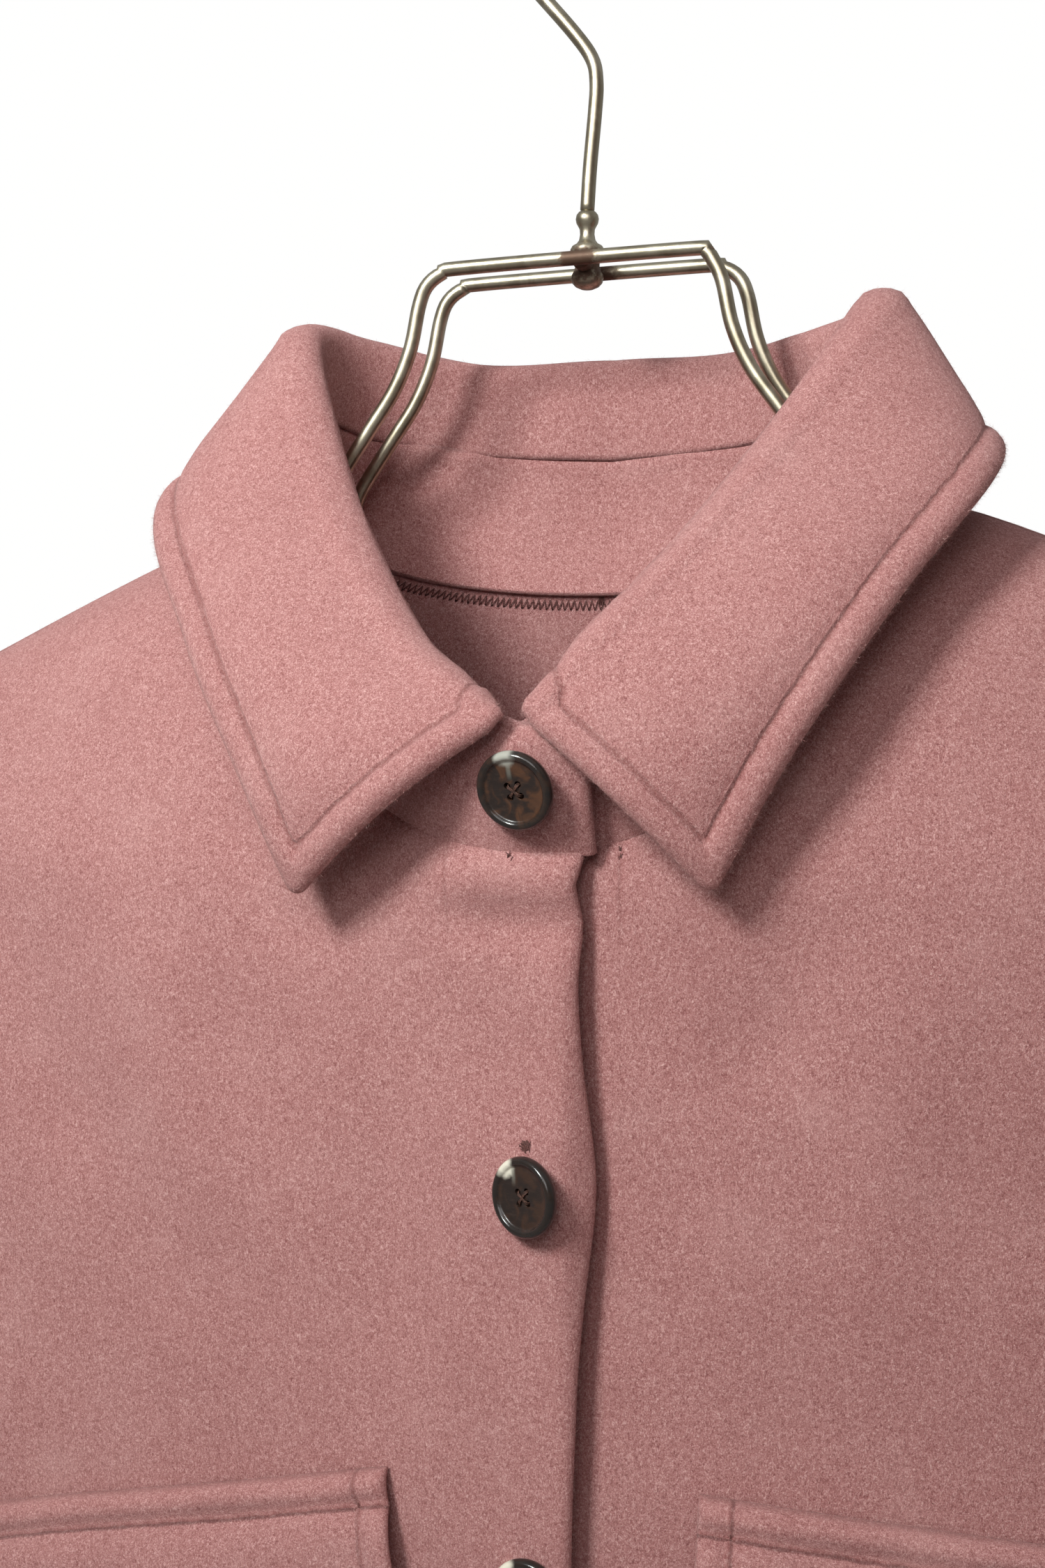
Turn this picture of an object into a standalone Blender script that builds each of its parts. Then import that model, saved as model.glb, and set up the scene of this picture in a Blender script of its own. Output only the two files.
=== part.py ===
"""A collared shirt jacket hanging on a double wire hanger, front towards -Y.

Lengths are metres.  Shapes are worked out with height 0 at the side of the neck and x
measured out from the middle of the jacket; to_part() then puts the origin at the inside
top of the hanger's hook.
"""
import math

import bmesh
import bpy
import numpy as np
from mathutils import Vector

# ------------------------------------------------------------------ driving sizes
HOOK_TOP = 0.172          # inside top of the hook above the side of the neck
HANGER_Y = 0.019          # middle of the two hanger wires
SEAM_Y = 0.022            # shoulder and side seams
SEAM_GAP = 0.0004         # between two sewn pieces
CLOTH = 0.0020            # one layer of brushed wool cloth
STAND_THICK = 0.0036      # two layers of cloth with stiffening
COLLAR_THICK = 0.0040     # two layers and a turned edge

NECK_HALF = 0.082         # side of the neck from the middle
NECK_SIDE_Z = -0.008
FRONT_DROP = 0.101        # neck seam at the middle of the front
BACK_DROP = 0.0300        # neck seam at the middle of the back
SHOULDER_SLOPE = 0.47
SHOULDER_LIFT = 0.0085    # flatter stretch beside the collar
SHOULDER_X = 0.215        # sleeve seam at the shoulder
SHOULDER_ROUND = 0.130    # height over which the shoulder turns into the body
UNDERARM_X = 0.248
UNDERARM_Z = -0.300
HEM_X = 0.262
HEM_Z = -0.690

FRONT_OVER = 0.0040       # the overlapping front lies this far out
FRONT_UNDER = 0.0015      # and the other this far in
# the lapping edge rolls back from here outwards, and its face ends this far over the other
EDGE_ROLL = 0.0070
EDGE_REST = 0.0058

BUTTON_RADIUS = 0.0101
BUTTON_HEIGHT = 0.0040
BUTTON_GAP = 0.0004       # under a button that lies flat
BUTTON_FIRST_Z = -0.0865
BUTTON_STEP = 0.100
BUTTON_COUNT = 6

FLAP_WIDTH = 0.128
FLAP_DROP = 0.062
POCKET_HEIGHT = 0.132
WIRE_RADIUS = 0.0020
WIRE_SPREAD = 0.010       # each wire from the middle of the hanger
BRIDGE_RADIUS = 0.0024    # the cross bar between the wires
CUFF_HEIGHT = 0.060
HANGER_LEAN = 0.020       # the hanger hangs a little lower on the viewer's left
HANGER_SHIFT = -0.0012    # and a little to that side
FRONT_LEG_BEND = -0.0036   # the front wire's left leg is bent inwards by this

# height, depth of the front at the middle, depth of the back, reach of the top front's
# edge past the middle, lift of that edge
BODY_ROWS = (
    ("z", "front", "back", "reach", "flare"),
    (-0.690, 0.056, 0.046, 0.0165, 0.002),
    (-0.450, 0.057, 0.050, 0.0160, 0.003),
    (-0.290, 0.059, 0.051, 0.0124, 0.006),
    (-0.236, 0.060, 0.050, 0.0142, 0.007),
    (-0.216, 0.060, 0.049, 0.0158, 0.008),
    (-0.184, 0.061, 0.047, 0.0183, 0.009),
    (-0.152, 0.062, 0.045, 0.0158, 0.007),
    (-0.136, 0.063, 0.044, 0.0150, 0.006),
    (-0.120, 0.064, 0.043, 0.0156, 0.004),
    (-0.101, 0.065, 0.041, 0.0166, 0.003),
    (-0.031, 0.062, 0.0345, 0.0175, 0.002),
    (0.050, 0.058, 0.032, 0.0175, 0.002),
)

# soft folds that run down: middle at the hem, middle at the top, height where it starts,
# depth at the hem, half width; the first column names the side it lies on
FOLD_ROWS = (
    ("panel", "x_hem", "x_top", "z_top", "depth", "width"),
    ("front", -0.205, -0.150, -0.200, 0.011, 0.026),
    ("front", -0.118, -0.108, -0.300, -0.009, 0.030),
    ("front", -0.052, -0.060, -0.340, 0.007, 0.024),
    ("front", 0.070, 0.064, -0.320, 0.008, 0.026),
    ("front", 0.132, 0.112, -0.290, -0.010, 0.028),
    ("front", 0.208, 0.158, -0.220, 0.012, 0.024),
    ("back", -0.190, -0.140, -0.160, 0.013, 0.028),
    ("back", -0.112, -0.090, -0.220, -0.010, 0.030),
    ("back", -0.020, -0.012, -0.180, 0.012, 0.034),
    ("back", 0.078, 0.062, -0.260, -0.010, 0.028),
    ("back", 0.168, 0.128, -0.170, 0.013, 0.030),
)

# across the collar from the front (0) past the side of the neck to the middle of the
# back (1): top of the stand, crest of the fold and outer edge
COLLAR_ROWS = (
    ("along", "base_x", "base_y", "base_z", "fold_x", "fold_y", "fold_z",
     "edge_x", "edge_y", "edge_z", "roll", "belly"),
    (0.00, 0.0000, -0.0540, -0.0700, 0.0018, -0.0590, -0.0650,
     0.0473, -0.0520, -0.1125, 0.0026, 0.0050),
    (0.18, 0.0310, -0.0450, -0.0520, 0.0290, -0.0430, -0.0380,
     0.0666, -0.0510, -0.0780, 0.0030, 0.0045),
    (0.38, 0.0610, -0.0200, -0.0170, 0.0580, -0.0190, 0.0025,
     0.0912, -0.0360, -0.0390, 0.0034, 0.0030),
    (0.58, 0.0790, 0.0150, 0.0175, 0.0800, 0.0090, 0.0405,
     0.1125, -0.0050, -0.0050, 0.0034, 0.0000),
    (0.72, 0.0700, 0.0390, 0.0170, 0.0700, 0.0380, 0.0405,
     0.0960, 0.0440, 0.0020, 0.0034, 0.0005),
    (0.86, 0.0390, 0.0510, 0.0125, 0.0400, 0.0530, 0.0360,
     0.0540, 0.0660, -0.0180, 0.0034, 0.0020),
    (1.00, 0.0000, 0.0550, 0.0105, 0.0000, 0.0570, 0.0350,
     0.0000, 0.0660, -0.0280, 0.0034, 0.0030),
)
# how the leaf over the lapping front differs: it opens wider and hangs lower
LEAF_ROWS = (
    ("along", "fold_drop", "edge_out", "edge_drop"),
    (0.00, 0.001, 0.0115, 0.0020),
    (0.18, 0.013, 0.0060, 0.0080),
    (0.38, 0.013, 0.0040, 0.0090),
    (0.58, 0.001, 0.0030, 0.0040),
    (0.80, 0.000, 0.0000, 0.0000),
    (1.00, 0.000, 0.0000, 0.0000),
)

# sleeve rings from the sleeve seam down: inner side, outer side, half depth, how far the
# ring has left the shape of the seam
SLEEVE_ROWS = (
    ("in_x", "in_z", "out_x", "out_z", "depth", "free"),
    (0.2500, -0.3030, 0.2400, -0.0880, 0.0300, 0.20),
    (0.2545, -0.3080, 0.2640, -0.1230, 0.0400, 0.48),
    (0.2575, -0.3160, 0.2950, -0.1780, 0.0480, 0.78),
    (0.2600, -0.3330, 0.3240, -0.2480, 0.0500, 1.00),
    (0.2610, -0.3620, 0.3430, -0.3220, 0.0480, 1.00),
    (0.2600, -0.4050, 0.3550, -0.3900, 0.0450, 1.00),
    (0.2580, -0.4500, 0.3600, -0.4450, 0.0425, 1.00),
    (0.2600, -0.4900, 0.3640, -0.4890, 0.0390, 1.00),
    (0.2590, -0.5280, 0.3630, -0.5290, 0.0380, 1.00),
    (0.2640, -0.5620, 0.3620, -0.5640, 0.0340, 1.00),
)

# how far each front button has turned on its thread, a share of its face
BUTTON_ROWS = (
    ("button", "turn"),
    (1, 0.12),
    (2, 0.24),
    (3, 0.06),
    (4, 0.10),
    (5, 0.03),
    (6, 0.08),
)

# height, distance out, over the hanger's leg and arm
HANGER_ROWS = (
    ("x", "z"),
    (0.0310, 0.0575),
    (0.0372, 0.0566),
    (0.0418, 0.0535),
    (0.0442, 0.0480),
    (0.0468, 0.0360),
    (0.0515, 0.0250),
    (0.0590, 0.0140),
    (0.0680, 0.0010),
    (0.0713, -0.0075),
    (0.0742, -0.0165),
    (0.0805, -0.0232),
)

PINK_WOOL = ("wool", (0.52, 0.29, 0.27, 1.0), 0.95, 0.0)
DARK_HORN = ("horn", (0.05, 0.03, 0.02, 1.0), 0.22, 0.0)
AGED_BRASS = ("brass", (0.42, 0.38, 0.27, 1.0), 0.32, 1.0)


# ------------------------------------------------------------------ small helpers
def column(rows, name, at):
    """Value of a named column where the first column equals at, between the rows."""
    names = rows[0]
    keys = [row[0] for row in rows[1:]]
    values = [row[names.index(name)] for row in rows[1:]]
    return smooth_between(keys, values, at)


def smooth_between(keys, values, at):
    """Value between the rows, with a slope that runs on smoothly through each row."""
    if at <= keys[0]:
        return values[0]
    if at >= keys[-1]:
        return values[-1]
    i = max(k for k in range(len(keys) - 1) if keys[k] <= at)
    span = keys[i + 1] - keys[i]
    t = (at - keys[i]) / span
    slopes = []
    for k in (i, i + 1):
        low = max(k - 1, 0)
        high = min(k + 1, len(keys) - 1)
        slopes.append((values[high] - values[low]) / (keys[high] - keys[low]) * span)
    a = values[i]
    b = values[i + 1]
    h = t * t * (3.0 - 2.0 * t)
    bend = slopes[0] * t * (1.0 - t) ** 2 - slopes[1] * t * t * (1.0 - t)
    return a + (b - a) * h + bend


def ease(t):
    """A soft step from 0 to 1."""
    t = min(1.0, max(0.0, t))
    return t * t * (3.0 - 2.0 * t)


def unit(vector):
    """The vector with length 1."""
    return vector / max(1e-9, float(np.linalg.norm(vector)))


def to_part(point):
    """From the jacket's own heights to the part's, origin in the hook."""
    return (point[0], point[1] - HANGER_Y, point[2] - HOOK_TOP)


def material(look):
    """A Principled material from its name, colour, roughness and metallic."""
    name, colour, roughness, metallic = look
    result = bpy.data.materials.new(name)
    result.use_nodes = True
    shader = result.node_tree.nodes["Principled BSDF"]
    shader.inputs["Base Color"].default_value = colour
    shader.inputs["Roughness"].default_value = roughness
    shader.inputs["Metallic"].default_value = metallic
    result.diffuse_color = colour
    return result


def add_object(name, work, look):
    """A named mesh object from the worked mesh, with its own material."""
    bmesh.ops.recalc_face_normals(work, faces=work.faces)
    for face in work.faces:
        face.smooth = True
    for vert in work.verts:
        vert.co = to_part(vert.co)
    mesh = bpy.data.meshes.new(name)
    work.to_mesh(mesh)
    work.free()
    mesh.materials.append(material((name + "_" + look[0],) + look[1:]))
    obj = bpy.data.objects.new(name, mesh)
    bpy.context.scene.collection.objects.link(obj)
    return obj


def grid_normals(grid, ring):
    """Unit normals of a grid of points; ring joins the last column to the first."""
    rows, cols = grid.shape[:2]
    total = np.zeros_like(grid)
    for r in range(rows - 1):
        for c in range(cols if ring else cols - 1):
            d = (c + 1) % cols
            corners = ((r, c), (r, d), (r + 1, d), (r + 1, c))
            one = grid[corners[2]] - grid[corners[0]]
            two = grid[corners[3]] - grid[corners[1]]
            face = unit(np.cross(one, two))
            for corner in corners:
                total[corner] += face
    return total / np.maximum(1e-12, np.linalg.norm(total, axis=2, keepdims=True))


def wall(name, grid, thick, inward, look, ring=False, seams=(), share=1.0):
    """A closed cloth wall from a grid of points.

    inward(point) gives a direction that points to the wall's inner side.  share is the
    part of the thickness that lies on that side.  seams names the grid's borders, "left"
    or "right", whose rim lies in the seam plane across Y wherever they run along it.
    """
    grid = np.asarray(grid, dtype=float)
    rows, cols = grid.shape[:2]
    normal = grid_normals(grid, ring)
    middle = grid[rows // 2, cols // 2]
    if float(np.dot(normal[rows // 2, cols // 2], inward(middle))) < 0.0:
        normal = -normal
    for border in seams:
        c = 0 if border == "left" else cols - 1
        for r in range(rows):
            if abs(grid[r, c, 1] - SEAM_Y) < 0.001:
                normal[r, c, 1] = 0.0
                normal[r, c] = unit(normal[r, c])
    inner = grid + normal * thick * share
    outer = grid - normal * thick * (1.0 - share)
    work = loft(outer, ring)
    spot = work.verts.layers.int["spot"]
    sheet = list(work.verts) + list(work.edges) + list(work.faces)
    grown = bmesh.ops.extrude_face_region(work, geom=sheet, use_keep_orig=True)["geom"]
    for vert in grown:
        if isinstance(vert, bmesh.types.BMVert):
            vert.co = inner[vert[spot] // cols, vert[spot] % cols]
    return add_object(name, work, look)


def loft(grid, ring):
    """A sheet through a grid of points: the first row, extruded from row to row."""
    rows, cols = grid.shape[:2]
    work = bmesh.new()
    spot = work.verts.layers.int.new("spot")
    line = [work.verts.new(point) for point in grid[0]]
    for c, vert in enumerate(line):
        vert[spot] = c
    joined = cols if ring else cols - 1
    edges = [work.edges.new((line[c], line[(c + 1) % cols])) for c in range(joined)]
    for r in range(1, rows):
        grown = bmesh.ops.extrude_edge_only(work, edges=edges)["geom"]
        line = {item for item in grown if isinstance(item, bmesh.types.BMVert)}
        for vert in line:
            vert[spot] += cols
            vert.co = grid[r, vert[spot] - r * cols]
        edges = [item for item in grown if isinstance(item, bmesh.types.BMEdge)
                 and item.verts[0] in line and item.verts[1] in line]
    return work


def tube(name, path, radius, look):
    """A closed round bar along a path of points."""
    curve = bpy.data.curves.new(name, "CURVE")
    curve.dimensions = "3D"
    curve.bevel_depth = radius
    curve.bevel_resolution = 2
    curve.use_fill_caps = True
    spline = curve.splines.new("POLY")
    spline.points.add(len(path) - 1)
    for target, point in zip(spline.points, path):
        target.co = (*to_part(point), 1.0)
    spline.use_smooth = True
    curve.materials.append(material((name + "_" + look[0],) + look[1:]))
    obj = bpy.data.objects.new(name, curve)
    bpy.context.scene.collection.objects.link(obj)
    return obj


def lathe(name, centre, axis, profile, look, sides=18):
    """A turned piece: profile rows are (radius, height) from the underside up."""
    axis = Vector(axis).normalized()
    centre = Vector(centre)
    side = axis.orthogonal().normalized()
    work = bmesh.new()
    line = [work.verts.new(centre + side * radius + axis * height)
            for radius, height in profile]
    edges = [work.edges.new(pair) for pair in zip(line, line[1:])]
    bmesh.ops.spin(work, geom=line + edges, cent=centre, axis=axis, dvec=(0.0, 0.0, 0.0),
                   angle=2.0 * math.pi, steps=sides, use_merge=True)
    bmesh.ops.holes_fill(work, edges=work.edges)
    return add_object(name, work, look)


# ------------------------------------------------------------------ form of the body
def shoulder_z(x):
    """Height of the shoulder seam at a distance from the middle."""
    out = abs(x) - NECK_HALF
    if out < 0.0:
        return NECK_SIDE_Z - 0.3 * out
    lift = SHOULDER_LIFT * (1.0 - math.exp(-out / 0.020))
    return NECK_SIDE_Z - SHOULDER_SLOPE * out + lift


def half_width(z):
    """Distance of the side seam from the middle."""
    down = (UNDERARM_Z - z) / (UNDERARM_Z - HEM_Z)
    return UNDERARM_X + (HEM_X - UNDERARM_X) * min(1.0, max(0.0, down))


def bulge(x, z):
    """How far the body stands out, 0 at the seams and 1 at the middle of the chest."""
    across = min(1.0, abs(x) / half_width(z))
    level = min(1.0, max(0.0, shoulder_z(x) - z) / SHOULDER_ROUND)
    return (1.0 - across ** 1.6) ** 0.6 * math.sqrt(1.0 - (1.0 - level) ** 2)


def folds(panel, x, z):
    """Height of the soft folds at a point, outwards."""
    total = 0.0
    for row in FOLD_ROWS[1:]:
        if row[0] != panel:
            continue
        down = (row[3] - z) / (row[3] - HEM_Z)
        if down <= 0.0:
            continue
        middle = row[2] + (row[1] - row[2]) * down
        total += row[4] * ease(down) * math.exp(-((x - middle) / row[5]) ** 2)
    seam = ease((half_width(z) - abs(x)) / 0.035)
    return total * seam


def front_y(side, x, z):
    """The front's outer face; side -1 is the front that laps over, on the viewer's left."""
    y = SEAM_Y - SEAM_GAP / 2.0 - column(BODY_ROWS, "front", z) * bulge(x, z)
    own = side * x
    y -= folds("front", x, z) * ease((own + 0.005) / 0.05)
    near = 1.0 - ease((own - 0.012) / 0.035)
    if side < 0:
        lift = max(0.0, (0.016 - own) / 0.033)
        out = FRONT_OVER * near + column(BODY_ROWS, "flare", z) * lift ** 1.5
        rest = ease((-EDGE_ROLL - own) / 0.0105)
        y -= out + (EDGE_REST - FRONT_UNDER - out) * rest
    else:
        y += FRONT_UNDER * near
    return y


def back_y(x, z):
    """The back's outer face."""
    out = column(BODY_ROWS, "back", z) * bulge(x, z)
    return SEAM_Y + SEAM_GAP / 2.0 + out + folds("back", x, z)


def front_point(side, own, z, out=0.0):
    """A point on a front at a distance from the middle, moved out from the cloth."""
    x = side * own
    point = np.array((x, front_y(side, x, z), z))
    if out == 0.0:
        return point
    step = 0.002
    slope_x = (front_y(side, x + step, z) - front_y(side, x - step, z)) / (2.0 * step)
    slope_z = (front_y(side, x, z + step) - front_y(side, x, z - step)) / (2.0 * step)
    return point + unit(np.array((slope_x, -1.0, slope_z))) * out


def neck_front(turn):
    """Front neckline from the middle (0) to the side of the neck (1): own x and z."""
    angle = 0.5 * math.pi * turn
    drop = FRONT_DROP + NECK_SIDE_Z
    return NECK_HALF * math.sin(angle), NECK_SIDE_Z - drop * math.cos(angle)


def neck_back(turn):
    """Back neckline from the side of the neck (0) to the middle (1): x and z."""
    angle = 0.5 * math.pi * turn
    drop = BACK_DROP + NECK_SIDE_Z
    return NECK_HALF * math.cos(angle) ** 0.9, NECK_SIDE_Z - drop * math.sin(angle)


def armhole(turn):
    """Armhole from the shoulder (0) to the underarm (1): own x and z."""
    tip = np.array((SHOULDER_X, shoulder_z(SHOULDER_X)))
    pulls = (tip, np.array((0.197, -0.150)), np.array((0.186, -0.292)),
             np.array((UNDERARM_X, UNDERARM_Z)))
    rest = 1.0 - turn
    weights = (rest ** 3, 3 * rest * rest * turn, 3 * rest * turn * turn, turn ** 3)
    return sum(w * p for w, p in zip(weights, pulls))


def blend_grid(top, bottom, left, right, across, down):
    """A grid between four borders of (x, z) points."""
    grid = []
    for j, g in enumerate(down):
        row = []
        for i, f in enumerate(across):
            ruled = (1 - g) * top[i] + g * bottom[i] + (1 - f) * left[j] + f * right[j]
            corners = ((1 - f) * (1 - g) * top[0] + f * (1 - g) * top[-1]
                       + (1 - f) * g * bottom[0] + f * g * bottom[-1])
            row.append(ruled - corners)
        grid.append(row)
    return grid


SHOULDER_STEPS = 7
ARM_STEPS = 10
SIDE_STEPS = 10
ARM_TURNS = [k / ARM_STEPS for k in range(ARM_STEPS + 1)]
NECK_FRONT_TURNS = [1.0 - (1.0 - k / 11) ** 1.5 for k in range(12)]
NECK_BACK_TURNS = [k / 9 for k in range(10)]
TIP_LEVEL = 0.12          # share of the front's height level with the shoulder tip
UNDERARM_LEVEL = 0.36     # and with the underarm


def side_border():
    """Shoulder, armhole and side seam, and how far down the panel each point is."""
    points = []
    down = []
    for k in range(SHOULDER_STEPS):
        x = NECK_HALF + (SHOULDER_X - NECK_HALF) * k / SHOULDER_STEPS
        points.append(np.array((x, shoulder_z(x))))
        down.append(TIP_LEVEL * k / SHOULDER_STEPS)
    for turn in ARM_TURNS:
        points.append(armhole(turn))
        down.append(TIP_LEVEL + (UNDERARM_LEVEL - TIP_LEVEL) * turn)
    for k in range(1, SIDE_STEPS + 1):
        z = UNDERARM_Z + (HEM_Z - UNDERARM_Z) * k / SIDE_STEPS
        points.append(np.array((half_width(z), z)))
        down.append(UNDERARM_LEVEL + (1.0 - UNDERARM_LEVEL) * k / SIDE_STEPS)
    return points, down


def shares(border):
    """Share of the border's length at each of its points."""
    steps = [float(np.linalg.norm(b - a)) for a, b in zip(border, border[1:])]
    return [sum(steps[:k]) / sum(steps) for k in range(len(border))]


def build_front(side, name):
    """One front, from the neckline and shoulder to the hem."""
    edge = column(BODY_ROWS, "reach", -FRONT_DROP)
    top = [np.array((-edge, -FRONT_DROP)), np.array((-edge * 0.5, -FRONT_DROP))]
    top += [np.array(neck_front(turn)) for turn in NECK_FRONT_TURNS]
    right, down = side_border()
    across = shares(top)
    bottom = [np.array((-edge + f * (HEM_X + edge), HEM_Z)) for f in across]
    left = [np.array((-edge, -FRONT_DROP + g * (HEM_Z + FRONT_DROP))) for g in down]
    flat = blend_grid(top, bottom, left, right, across, down)
    grid = []
    for row in flat:
        line = []
        for own, z in row:
            if side < 0:
                near = 1.0 - ease((own + edge) / 0.05)
                own -= (column(BODY_ROWS, "reach", z) - edge) * near
            line.append(front_point(side, own, z))
        grid.append(line)
    wall(name, grid, CLOTH, lambda p: np.array((0.0, 1.0, 0.0)), PINK_WOOL,
         seams=("right",))
    keep_before_seam(name, -1)


def build_back():
    """The back in one piece."""
    half = [np.array(neck_back(turn)) for turn in reversed(NECK_BACK_TURNS)]
    mirror = np.array((-1.0, 1.0))
    top = [p * mirror for p in reversed(half[1:])] + half
    right, down = side_border()
    left = [p * mirror for p in right]
    spread = len(half) - 1
    out = [1.0 - (1.0 - k / spread) ** 1.4 for k in range(spread + 1)]
    across = [0.5 - 0.5 * o for o in reversed(out[1:])] + [0.5 + 0.5 * o for o in out]
    bottom = [np.array((-HEM_X + f * 2.0 * HEM_X, HEM_Z)) for f in across]
    flat = blend_grid(top, bottom, left, right, across, down)
    grid = [[np.array((x, back_y(x, z), z)) for x, z in row] for row in flat]
    wall("back", grid, CLOTH, lambda p: np.array((0.0, -1.0, 0.0)), PINK_WOOL,
         seams=("left", "right"))
    keep_before_seam("back", 1)


def keep_before_seam(name, way):
    """Moves what passes the seam plane back to it, way -1 for a front."""
    limit = SEAM_Y - HANGER_Y + way * SEAM_GAP / 2.0
    for vertex in bpy.data.objects[name].data.vertices:
        if way * (vertex.co.y - limit) < 0.0:
            vertex.co.y = limit


# ------------------------------------------------------------------ collar
def neck_seam(along):
    """The neck seam from the middle of the front (0) to the middle of the back (1)."""
    side_at = 0.58
    if along < side_at:
        own, z = neck_front(max(0.0, along) / side_at)
        return own, z, "front"
    own, z = neck_back((along - side_at) / (1.0 - side_at))
    return own, z, "back"


def neck_places():
    """Side and place of each step round the neck, the seams' own points."""
    one_way = [0.58 * turn for turn in NECK_FRONT_TURNS[:-1]]
    one_way += [0.58 + 0.42 * turn for turn in NECK_BACK_TURNS]
    places = [(-1, along) for along in one_way]
    return places + [(1, along) for along in reversed(one_way[:-1])]


def collar_spot(side, along, spot):
    """Base, fold or edge of the collar at a place along the neck, in jacket heights."""
    point = np.array([column(COLLAR_ROWS, spot + "_" + axis, along) for axis in "xyz"])
    if side < 0 and spot == "fold":
        point[2] -= column(LEAF_ROWS, "fold_drop", along)
    if side < 0 and spot == "edge":
        point[0] += column(LEAF_ROWS, "edge_out", along) * ease((1.0 - along) / 0.2)
        point[2] -= column(LEAF_ROWS, "edge_drop", along)
    if side < 0 and spot == "base":
        point[2] -= 0.3 * column(LEAF_ROWS, "fold_drop", along)
    share = {"base": 1.0, "fold": 0.6, "edge": 0.0}[spot] * (1.0 - ease(along / 0.2))
    point[1] += share * (-FRONT_OVER if side < 0 else FRONT_UNDER)
    point[0] *= side
    return point


def away(side, along):
    """Level direction away from the middle of the neck."""
    turn = -0.5 * math.pi
    if along < 0.58:
        turn += 0.5 * math.pi * along / 0.58
    else:
        turn = 0.5 * math.pi * (along - 0.58) / 0.42
    return np.array((side * math.cos(turn), math.sin(turn), 0.0))


def stand_line(side, past, along):
    """Bottom and top of the stand; past is how far it reaches over the middle."""
    own, z, panel = neck_seam(along)
    if panel == "front":
        low = front_point(side, own - past, z)
    else:
        low = np.array((side * own, back_y(side * own, z), z))
    high = collar_spot(side, along, "base")
    high[0] -= side * past
    if past > 0.0:
        high[1] = collar_spot(side, 0.0, "base")[1]
        high[1] += front_y(side, -side * past, z) - front_y(side, 0.0, z)
        high[2] -= 0.004 * (past / 0.0175) ** 2
    return low, high


def build_stand():
    """The collar's stand, one band from end to end round the neck."""
    places = [(-1, past, 0.0) for past in (0.0175, 0.0090)]
    places += [(side, 0.0, along) for side, along in neck_places()]
    places += [(1, past, 0.0) for past in (0.0090, 0.0175)]
    grid = []
    for part in (0.0, 0.35, 0.7, 1.0):
        line = []
        for side, past, along in places:
            low, high = stand_line(side, past, along)
            up = unit(high - low)
            low = low + up * 0.0006
            bow = away(side, along) * 0.0025 * math.sin(math.pi * part)
            line.append(low + (high - low) * part + bow)
        grid.append(line)
    wall("collar_stand", grid, STAND_THICK, lambda p: np.array((0.0, -1.0, 0.0)),
         PINK_WOOL)


def collar_section(side, along):
    """Points across the collar from the stand over the fold to the outer edge."""
    base = collar_spot(side, along, "base")
    fold = collar_spot(side, along, "fold")
    edge = collar_spot(side, along, "edge")
    out = away(side, along)
    roll = column(COLLAR_ROWS, "roll", along)
    base = base - out * STAND_THICK * 0.5 + unit(fold - base) * 0.0026
    fall = unit(edge - fold)
    rise = min(0.004, 0.45 * float(np.linalg.norm(fold - base)))
    inside = fold - out * roll - unit(fold - base) * rise
    outside = fold + out * roll + fall * 0.0045
    crest = fold + np.array((0.0, 0.0, 0.0004))
    stops = [base, base + (inside - base) * 0.5, inside,
             (inside + crest) * 0.5 - out * roll * 0.36 + np.array((0.0, 0.0, 0.0012)),
             crest,
             (outside + crest) * 0.5 + out * roll * 0.36 + np.array((0.0, 0.0, 0.0010)),
             outside]
    full = column(COLLAR_ROWS, "belly", along)
    for part in (0.22, 0.45, 0.70, 1.0):
        belly = full * math.sin(math.pi * part)
        puff = out * belly + np.array((0.0, 0.0, 0.4 * belly))
        stops.append(outside + (edge - outside) * part + puff)
    return stops


def build_collar():
    """The collar's fall, from one front corner round the back to the other."""
    grid = np.array([collar_section(side, along) for side, along in neck_places()])
    wall("collar", grid.transpose(1, 0, 2), COLLAR_THICK,
         lambda p: np.array((0.0, 0.0, -1.0)), PINK_WOOL, share=0.5)


# ------------------------------------------------------------------ sleeves and cuffs
def sleeve_seam(side):
    """Ring of points round the armhole and the way out of the body at each."""
    ring = []
    ways = []
    for panel in ("front", "back"):
        turns = ARM_TURNS if panel == "front" else list(reversed(ARM_TURNS))
        turns = turns[:-1]
        for turn in turns:
            own, z = armhole(turn)
            here = body_point(panel, side, own, z)
            ring.append(here)
            ways.append(way_out(panel, side, turn, here))
    ring = np.array(ring)
    ring[0, 1] = SEAM_Y
    ring[ARM_STEPS, 1] = SEAM_Y
    return ring, np.array(ways)


def way_out(panel, side, turn, here):
    """The way the sleeve leaves the body: straight on, and outwards at the underarm."""
    slope = -SHOULDER_SLOPE
    if turn == 0.0:
        return unit(np.array((side, 0.0, slope)))
    if turn == 1.0:
        return np.array((side, 0.0, 0.0))
    spot = armhole(turn)
    step = armhole(turn + 0.01) - spot
    ahead = body_point(panel, side, *(spot + step))
    inner = spot - unit(np.array((-step[1], step[0]))) * 0.002
    inside = body_point(panel, side, inner[0], inner[1])
    face = unit(np.cross(ahead - here, inside - here))
    face = face * math.copysign(1.0, np.dot(face, here - np.array((0.0, SEAM_Y, here[2]))))
    way = unit(np.cross(ahead - here, face))
    way = way * math.copysign(1.0, np.dot(way, here - inside))
    turn_out = 0.5 * math.pi * ease((turn - 0.45) / 0.55)
    return unit(way * math.cos(turn_out) + face * math.sin(turn_out))


def body_point(panel, side, own, z):
    """A point of the front or back, own measured from the middle."""
    x = side * own
    y = front_y(side, x, z) if panel == "front" else back_y(x, z)
    return np.array((x, y, z))


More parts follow.
